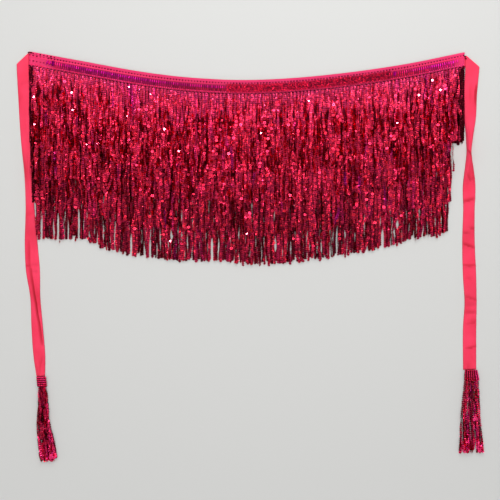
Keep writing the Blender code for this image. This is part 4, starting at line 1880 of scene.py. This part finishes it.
    def build(self) -> Object:
        """Build the ribbon as a thin closed cloth with rounded edges.

        Returns:
            The ribbon.
        """
        rows = self.folded_rows()
        first_down, last_down = self.rows[0].down, self.rows[-1].down
        count = round((last_down - first_down) * MM / self.step) + 1
        falling = self.falling_rows(np.linspace(first_down, last_down, count))
        above = rows[-1]
        shares = np.linspace(0, 1, self.joining_rows + 2)[1:-1]
        rows += [above * (1 - share) + falling[0] * share for share in shares]
        middle, shade = self.creased_and_shaded(np.stack(rows + falling), len(rows) - self.joining_rows)
        facing = np.cross(np.gradient(middle, axis=0), np.gradient(middle, axis=1))
        facing /= np.linalg.norm(facing, axis=-1, keepdims=True)
        share = np.linspace(0, 1, self.columns)
        half = self.cloth / 2 * np.sqrt(1 - np.abs(2 * share - 1) ** 6)
        upper, under = middle + facing * half[None, :, None], middle - facing * half[None, :, None]
        rings = np.concatenate([upper, under[:, -2:0:-1]], axis=1)
        rings[..., 2] = np.maximum(rings[..., 2], 0.02 * MM)
        steps = np.linalg.norm(np.diff(middle[:, self.columns // 2], axis=0), axis=1)
        along = np.append(0, steps.cumsum())
        around = np.linspace(0, 2 * self.width, 2 * self.columns - 1)
        name = f"ribbon_{self.side.value}"
        mesh = tube_mesh(name, rings, along, around)
        mark_points(mesh, "shade", np.concatenate([shade, shade[:, -2:0:-1]], axis=1))
        ribbon = add_object(name, mesh, self.scarf.finishes.ribbon)
        self.length = float(along[-1])
        return self.scarf.keep(ribbon, "tie_cloth", f"tie_{self.side.value}")


@dataclass(frozen=True)
class TasselRow:
    """A tassel's two sides, at a distance below the top of its head, in millimetres."""

    down: float
    left: float
    right: float


@dataclass(frozen=True)
class Parting:
    """A gap between strings: from where to where it opens, and its place across."""

    start: float
    end: float
    low: float
    high: float


class Wrap(Enum):
    """Which way the sequin ribs of a tassel's head run, and what they are like."""

    ACROSS = BeadRow((2.7, 3.7, 1.6), 2.3, 0.3, 0.2)
    ALONG = BeadRow((3.6, 2.9, 1.6), 2.9, 0.2, 0.2)


@dataclass
class Tassel:
    """A tassel: a rolled head of fringe tape, with two layers of sequin strings.

    Its sizes are millimetres.
    """

    scarf: Scarf
    side: Side
    top: float
    rows: tuple[TasselRow, ...]
    wrap: Wrap
    partings: tuple[Parting, ...]
    shade: float
    neck: float = 0.0
    head_height: float = 21.0
    half_thick: float = 3.3
    middle_height: float = 3.4
    tape_length: float = 56.0
    strings: int = 46
    points: int = 18
    low_layer: float = 2.9
    high_layer: float = 5.0
    floor_height: float = 2.8
    tuck: float = 4.0
    ragged: float = 9.0
    core_sides: int = 24
    core_rings: int = 12

    def sides_at(self, down: np.ndarray) -> tuple[np.ndarray, np.ndarray]:
        """Read the tassel's sides.

        Args:
            down: Distances below the top of its head.

        Returns:
            The left side and the right one.
        """
        places = [row.down for row in self.rows]
        left = smooth_at(places, [row.left for row in self.rows], down)
        return left, smooth_at(places, [row.right for row in self.rows], down)

    def build_core(self) -> Object:
        """Build the rolled tape inside the head.

        Returns:
            The core.
        """
        downs = np.linspace(0, self.head_height, self.core_rings)
        left, right = self.sides_at(downs)
        taper = 1 - 0.2 * np.exp(-downs / 2.5)
        angles = np.linspace(0, 2 * math.pi, self.core_sides + 1)[:-1]
        centre, reach = (left + right) / 2, (right - left) / 2 * taper - 0.6
        xs = centre[:, None] + reach[:, None] * np.cos(angles)
        ys = np.broadcast_to((self.top - downs)[:, None], xs.shape)
        zs = self.middle_height + (self.half_thick - 0.5) * taper[:, None] * np.sin(angles)
        around = np.linspace(0, self.tape_length * MM, self.core_sides + 1)
        name = f"tassel_head_{self.side.value}"
        mesh = tube_mesh(name, np.stack([xs, ys, zs], axis=-1) * MM, downs * MM, around)
        return self.scarf.keep(add_object(name, mesh, self.scarf.finishes.string), "sequin_fringe")

    def wrap_lines(self) -> list[Line]:
        """Guide lines for the ribs of sequins round the head.

        Returns:
            The lines.
        """
        lines = []
        if self.wrap is Wrap.ACROSS:
            turn = np.linspace(-0.12 * math.pi, 1.12 * math.pi, 40)
            for down in np.linspace(2.0, self.head_height - 2.2, 5):
                left, right = self.sides_at(np.full_like(turn, down))
                xs = (left + right) / 2 + ((right - left) / 2 - 1.0) * np.cos(turn)
                zs = self.middle_height + (self.half_thick - 0.9) * np.sin(turn)
                points = np.column_stack([xs, np.full_like(xs, self.top - down), zs]) * MM
                lines.append(self.headline(points, 1.3 - 0.025 * down, 0.2))
            return lines
        downs = np.linspace(1.0, self.head_height - 0.6, 16)
        left, right = self.sides_at(downs)
        for i, q in enumerate(np.linspace(-0.9, 0.9, 7)):
            slant = 0.12 * np.clip(downs / self.head_height, 0, 1) * (i > 4)
            xs = (left + right) / 2 + ((right - left) / 2 - 1.0) * np.clip(q + slant, -1, 1)
            zs = self.middle_height + (self.half_thick - 0.9) * math.sqrt(1 - q * q)
            points = np.column_stack([xs, self.top - downs, np.full_like(xs, zs)]) * MM
            lines.append(self.headline(points, 1.6 if i > 4 else 0.8, 0.35 if i > 4 else 0.1))
        return lines

    def headline(self, points: np.ndarray, shade: float, violet: float) -> Line:
        """A guide line of one brightness and tint."""
        count = len(points)
        return Line(points, shade=np.full(count, shade), violet=np.full(count, violet))

    def string_lines(self) -> list[Line]:
        """Guide lines for the strings: a layer on the surface, and one over it.

        Returns:
            The lines.
        """
        rng, count = np.random.default_rng(80 + len(self.side.value)), self.points
        start, end = self.head_height - self.tuck, self.rows[-1].down
        lower = self.strings // 2 + 1
        places = [(share, self.low_layer) for share in np.linspace(0, 1, lower)]
        shares = np.linspace(0.04, 0.96, self.strings - lower)
        places += [(share, self.high_layer) for share in shares]
        lines = []
        for share, height in places:
            front = float(height == self.high_layer)
            reach = end - rng.uniform(0, self.ragged)
            downs = np.linspace(start, reach, count)
            run = (downs - start) / (reach - start)
            wander = rng.normal(0, 0.05) * run
            wander = wander + 0.025 * np.sin(downs / 17 + rng.uniform(*ANY_PHASE))
            shares = np.clip(share + wander, 0, 1)
            for parting in self.partings:
                shares = self.parted(shares, downs, parting)
            left, right = self.sides_at(downs)
            pinch = self.neck * np.exp(-(((downs - self.head_height - 1) / 8) ** 2))
            xs = left + 2.0 + pinch + (right - left - 4.0 - 2 * pinch) * shares
            xs += 0.5 * np.sin(downs / rng.uniform(3, 6) + rng.uniform(*ANY_PHASE)) * front
            zs = height + rng.uniform(-0.3, 0.5) - 0.9 * run * front
            points = np.column_stack([xs, self.top - downs, np.maximum(zs, self.floor_height)]) * MM
            roll = rng.uniform(*ANY_PHASE) + (rng.normal(0, 0.7, count)).cumsum()
            side = 0.5 + 0.65 * abs(2 * share - 1) + 0.4 * (share > 0.7)
            # The low layer is painted at half brightness, as shade under the high one, which is painted
            # brighter.
            tone = self.shade * max(rng.normal(1, 0.2), 0.4) * (1.3 * side if front else 0.5)
            shade = tone * np.interp(run, [0, 0.75, 1], [0.95, 0.9, 1.35])
            violet = np.full(count, 0.6 if rng.random() < 0.12 else 0.14)
            size = np.interp(run, [0, 0.8, 1], [0.6, 0.66, 0.95]) * rng.uniform(0.8, 1.15)
            lines.append(Line(points, roll, shade, violet, size))
        return lines

    def parted(self, shares: np.ndarray, downs: np.ndarray, parting: Parting) -> np.ndarray:
        """Push a string out of a parting.

        Args:
            shares: The string's places across the tassel.
            downs: Distances below the top of the head.
            parting: The gap.

        Returns:
            The places, moved to the nearer side of the gap where it is open.
        """
        middle, half = (parting.low + parting.high) / 2, (parting.high - parting.low) / 2
        centre, reach = (parting.start + parting.end) / 2, (parting.end - parting.start) / 2
        opened = half * np.clip(1.4 - ((downs - centre) / reach) ** 2, 0, 1)
        nearest = np.where(shares[0] < middle, -1, 1)
        pushed = middle + nearest * np.maximum(np.abs(shares - middle), opened)
        return np.where(np.abs(shares - middle) < opened, pushed, shares)

    def build(self) -> list[Object]:
        """Build the head and the strings.

        Returns:
            The tassel's pieces.
        """
        scarf, name, slot = self.scarf, self.side.value, "sequin_fringe"
        core = self.build_core()
        lines, row, film = self.wrap_lines(), self.wrap.value, scarf.finishes.film
        ribs = scarf.row_beads(f"tassel_ribs_{name}", lines, row, film, slot)
        lines, values = self.string_lines(), {"Seed": 20 + len(name)}
        strings = f"tassel_strings_{name}"
        return [core, ribs, scarf.string_sequins(strings, lines, values, slot, f"tassel_{name}")]


def left_tie(scarf: Scarf) -> tuple[Ribbon, Tassel]:
    """The tie at the left end of the band, with its tassel.

    Args:
        scarf: What it is fitted to.

    Returns:
        The ribbon and the tassel.
    """
    fold = Fold((-457.9, 420.2), (-482.6, 396.4), (-445.5, 418.0), (-445.5, 390.5))
    rows = table(
        RibbonRow,
        (26, -457.9, -482.6, 0), (96, -455.0, -479.6, 1.0), (199, -452.7, -472.6, 2.6),
        (237, -451.5, -468.4, 4.0), (315, -446.6, -464.7, 3.0), (398, -439.5, -466.4, 1.0),
        (448, -435.1, -464.1, 0.5), (504, -434.3, -455.2, 3.0), (564, -428.9, -452.7, 1.6),
        (632, -423.9, -447.7, 1.0), (667, -424.4, -442.4, 3.0),
    )
    long_crease = (
        (444, 0.58), (466, 0.54), (493, 0.45), (518, 0.32), (540, 0.28), (556, 0.2), (578, 0.16),
        (600, 0.13),
    )
    creases = table(
        Crease,
        (((388, 0.6), (412, 0.62), (439, 0.66)), 0.8, 2.0, 0.14),
        (((440, 0.64), (441, 0.98)), 0.6, 1.8, 0.12),
        (((439, 0.05), (437, 0.6)), 0.4, 3.0, 0.05),
        (((453, 0.1), (452, 0.5)), 0.4, 3.2, 0.06),
        (long_crease, 1.5, 2.1, 0.3),
        (((205, 0.3), (240, 0.45), (300, 0.4)), 0.7, 3.4, 0.05),
        (((215, 0.75), (262, 0.65)), 0.5, 3.0, 0.05),
        (((120, 0.4), (170, 0.5)), 0.35, 4.0, 0.03),
        (((60, 0.1), (66, 0.8)), 0.3, 4.5, 0.03),
        (((330, 0.1), (336, 0.85)), 0.35, 4.0, 0.04),
        (((628, 0.2), (650, 0.45), (666, 0.5)), 0.7, 2.6, 0.08),
        (((640, 0.8), (666, 0.66)), 0.5, 2.4, 0.06),
    )
    ribbon = Ribbon(scarf, Side.LEFT, fold, rows, creases)
    sides = table(
        TasselRow,
        (0, -442.6, -421.4), (21, -440.4, -419.0), (60, -440.0, -415.6), (97, -441.6, -413.0),
        (130, -439.6, -404.6), (174, -434.6, -398.3),
    )
    partings = (Parting(96, 144, 0.13, 0.27),)
    return ribbon, Tassel(scarf, Side.LEFT, ribbon.end - 0.3, sides, Wrap.ACROSS, partings, 0.8, 2.6)


def right_tie(scarf: Scarf) -> tuple[Ribbon, Tassel]:
    """The tie at the right end of the band, with its twist and its tassel.

    Args:
        scarf: What it is fitted to.

    Returns:
        The ribbon and the tassel.
    """
    fold = Fold((445.3, 415.2), (473.7, 390.8), (435.0, 413.0), (435.0, 391.0))
    rows = table(
        RibbonRow,
        (27, 444.6, 473.6, 0.3), (83, 441.5, 468.9, 1.5), (126, 442.6, 467.4, 3.0),
        (170, 446.3, 460.8, 8.0), (203, 447.3, 457.1, 10.5), (228, 444.6, 461.6, 7.0),
        (267, 440.1, 465.9, 2.0), (319, 440.7, 464.5, 2.0), (381, 438.8, 464.5, 1.0),
        (460, 440.5, 467.8, 0.5), (509, 443.4, 468.4, 1.5), (559, 440.5, 467.8, 0.5),
        (649, 440.5, 467.8, 0.8),
    )
    creases = table(
        Crease,
        (((60, 0.86), (74, 0.8), (98, 0.84)), 1.2, 2.2, 0.22),
        (((58, 0.4), (92, 0.42)), 0.5, 3.0, 0.06),
        (((140, 0.2), (175, 0.38), (200, 0.46)), 0.9, 2.2, 0.05),
        (((150, 0.85), (180, 0.68), (202, 0.55)), 0.8, 2.2, 0.05),
        (((196, 0.1), (205, 0.5), (213, 0.9)), 1.6, 1.8, 0.25),
        (((208, 0.5), (232, 0.38), (262, 0.24)), 0.8, 2.6, 0.06),
        (((212, 0.6), (244, 0.75), (268, 0.82)), 0.7, 2.6, 0.05),
        (((246, 0.25), (258, 0.5), (254, 0.85)), 0.8, 2.8, 0.12),
        (((303, 0.0), (300, 0.45), (296, 0.9)), 1.1, 2.8, 0.2),
        (((357, 0.6), (358, 0.95)), 0.7, 2.2, 0.14),
        (((367, 0.06), (367, 0.46)), 0.7, 2.2, 0.14),
        (((389, 0.05), (394, 0.5), (397, 0.9)), 1.0, 2.4, 0.2),
        (((434, 0.02), (435, 0.5), (434, 0.98)), 1.1, 1.7, 0.24),
        (((461, 0.3), (462, 0.6)), 0.4, 2.5, 0.06),
        (((497, 0.0), (502, 0.5), (506, 1.0)), 0.8, 2.4, 0.12),
        (((516, 0.1), (515, 0.9)), 0.6, 4.4, 0.06),
        (((531, 0.1), (531, 0.95)), 0.8, 2.6, 0.13),
        (((548, 0.5), (550, 0.95)), 0.6, 3.8, 0.08),
        (((555, 0.25), (553, 0.9)), 0.8, 2.0, 0.12),
        (((606, 0.22), (604, 0.6), (601, 0.98)), 0.9, 1.7, 0.18),
        (((636, 0.3), (648, 0.34)), 0.4, 2.8, 0.05),
    )
    ribbon = Ribbon(scarf, Side.RIGHT, fold, rows, creases)
    sides = table(
        TasselRow,
        (0, 441.6, 470.4), (21, 441.2, 473.0), (58, 437.6, 475.4), (98, 433.8, 476.2),
        (138, 432.6, 480.6), (170, 431.6, 482.6),
    )
    partings = table(Parting, (50, 98, 0.25, 0.37), (152, 190, 0.58, 0.72))
    return ribbon, Tassel(scarf, Side.RIGHT, ribbon.end - 0.3, sides, Wrap.ALONG, partings, 0.85)


@dataclass
class Studio:
    """A pale floor, soft studio light, and the camera straight above."""

    frame_width: float = 1.035
    centre: tuple[float, float] = (-0.0004, 0.0137)
    lens: float = 50.0
    sensor: float = 36.0
    floor_half: float = 4.0
    room_dim: float = 0.12
    room_bright: float = 1.2

    @property
    def eye(self) -> Point:
        """Where the camera is, so that its frame has the given width on the floor."""
        return (*self.centre, self.frame_width * self.lens / self.sensor)

    def build_floor(self) -> Object:
        """The floor, which isn't part of the scarf.

        Returns:
            The floor.
        """
        mesh = bpy.data.meshes.new("floor")
        half = self.floor_half
        corners = [(-half, -half, 0), (half, -half, 0), (half, half, 0), (-half, half, 0)]
        mesh.from_pydata(corners, [], [(0, 1, 2, 3)])
        floor = add_object("floor", mesh, PaintedFloor().make())
        return floor

    def build_camera(self) -> None:
        """A camera that looks straight down, with the scarf's waist at the top."""
        data = bpy.data.cameras.new("camera")
        data.lens = self.lens
        data.sensor_width = self.sensor
        camera = new_object("camera", data)
        camera.location = self.eye
        bpy.context.scene.camera = camera

    def add_area(self, name: str, place: Point, size: float, power: float) -> None:
        """Add a square lamp that shines at the scarf.

        Args:
            name: The lamp's name.
            place: Where it hangs.
            size: Its width.
            power: Its power in watts.
        """
        data = bpy.data.lights.new(name, "AREA")
        data.shape = "SQUARE"
        data.size = size
        data.energy = power
        lamp = new_object(name, data)
        lamp.location = place
        x, y, z = place
        lamp.rotation_euler = (-math.atan2(y, z), math.atan2(x, z), 0)

    def build_light(self) -> None:
        """A soft lamp overhead, one beyond the waist, a small one, and a room of panels."""
        self.add_area("overhead", (0.3, 0.5, 2.3), 1.3, 7)
        self.add_area("window", (0.25, 1.9, 1.25), 0.9, 20)
        self.add_area("spark", SPARK_LAMP, 0.1, 4)
        world = bpy.data.worlds.new("room")
        world.use_nodes = True
        node = partial(add_node, world.node_tree)
        place = node("ShaderNodeTexCoord").outputs["Generated"]
        panels = node("ShaderNodeTexNoise", {"Vector": place, "Scale": 2.4, "Detail": 1.0})
        reach = {"From Min": 0.36, "From Max": 0.64, "To Min": self.room_dim, "To Max": self.room_bright}
        level = node("ShaderNodeMapRange", {"Value": panels.outputs["Fac"], **reach})
        white = (1.0, 1.0, 1.0, 1.0)
        wire(world.node_tree.nodes["Background"], {"Color": white, "Strength": level})
        bpy.context.scene.world = world

    def build(self) -> Object:
        """Build the studio.

        Returns:
            The floor.
        """
        self.build_camera()
        self.build_light()
        bpy.context.scene.view_settings.view_transform = "Standard"
        return self.build_floor()


def main() -> None:
    """Build the scarf's looks around its solids."""
    logging.basicConfig(level=logging.INFO, format="%(name)s: %(message)s")
    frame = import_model()
    studio = Studio()
    floor = studio.build()
    waist = Waist.of_solid(frame["nodes"]["waistband"])
    scarf = Scarf(waist, Finishes(), SequinStringer(), BeadRower(), floor)
    BackingPanel(scarf).build()
    fringe = TieredFringe(scarf)
    fringe.build()
    LooseDiscs(fringe).build()
    Sparks(scarf, studio.eye).build()
    Waistband(scarf).build()
    for ribbon, tassel in (left_tie(scarf), right_tie(scarf)):
        cloth = ribbon.build()
        pieces = tassel.build()


if __name__ == "__main__":
    main()
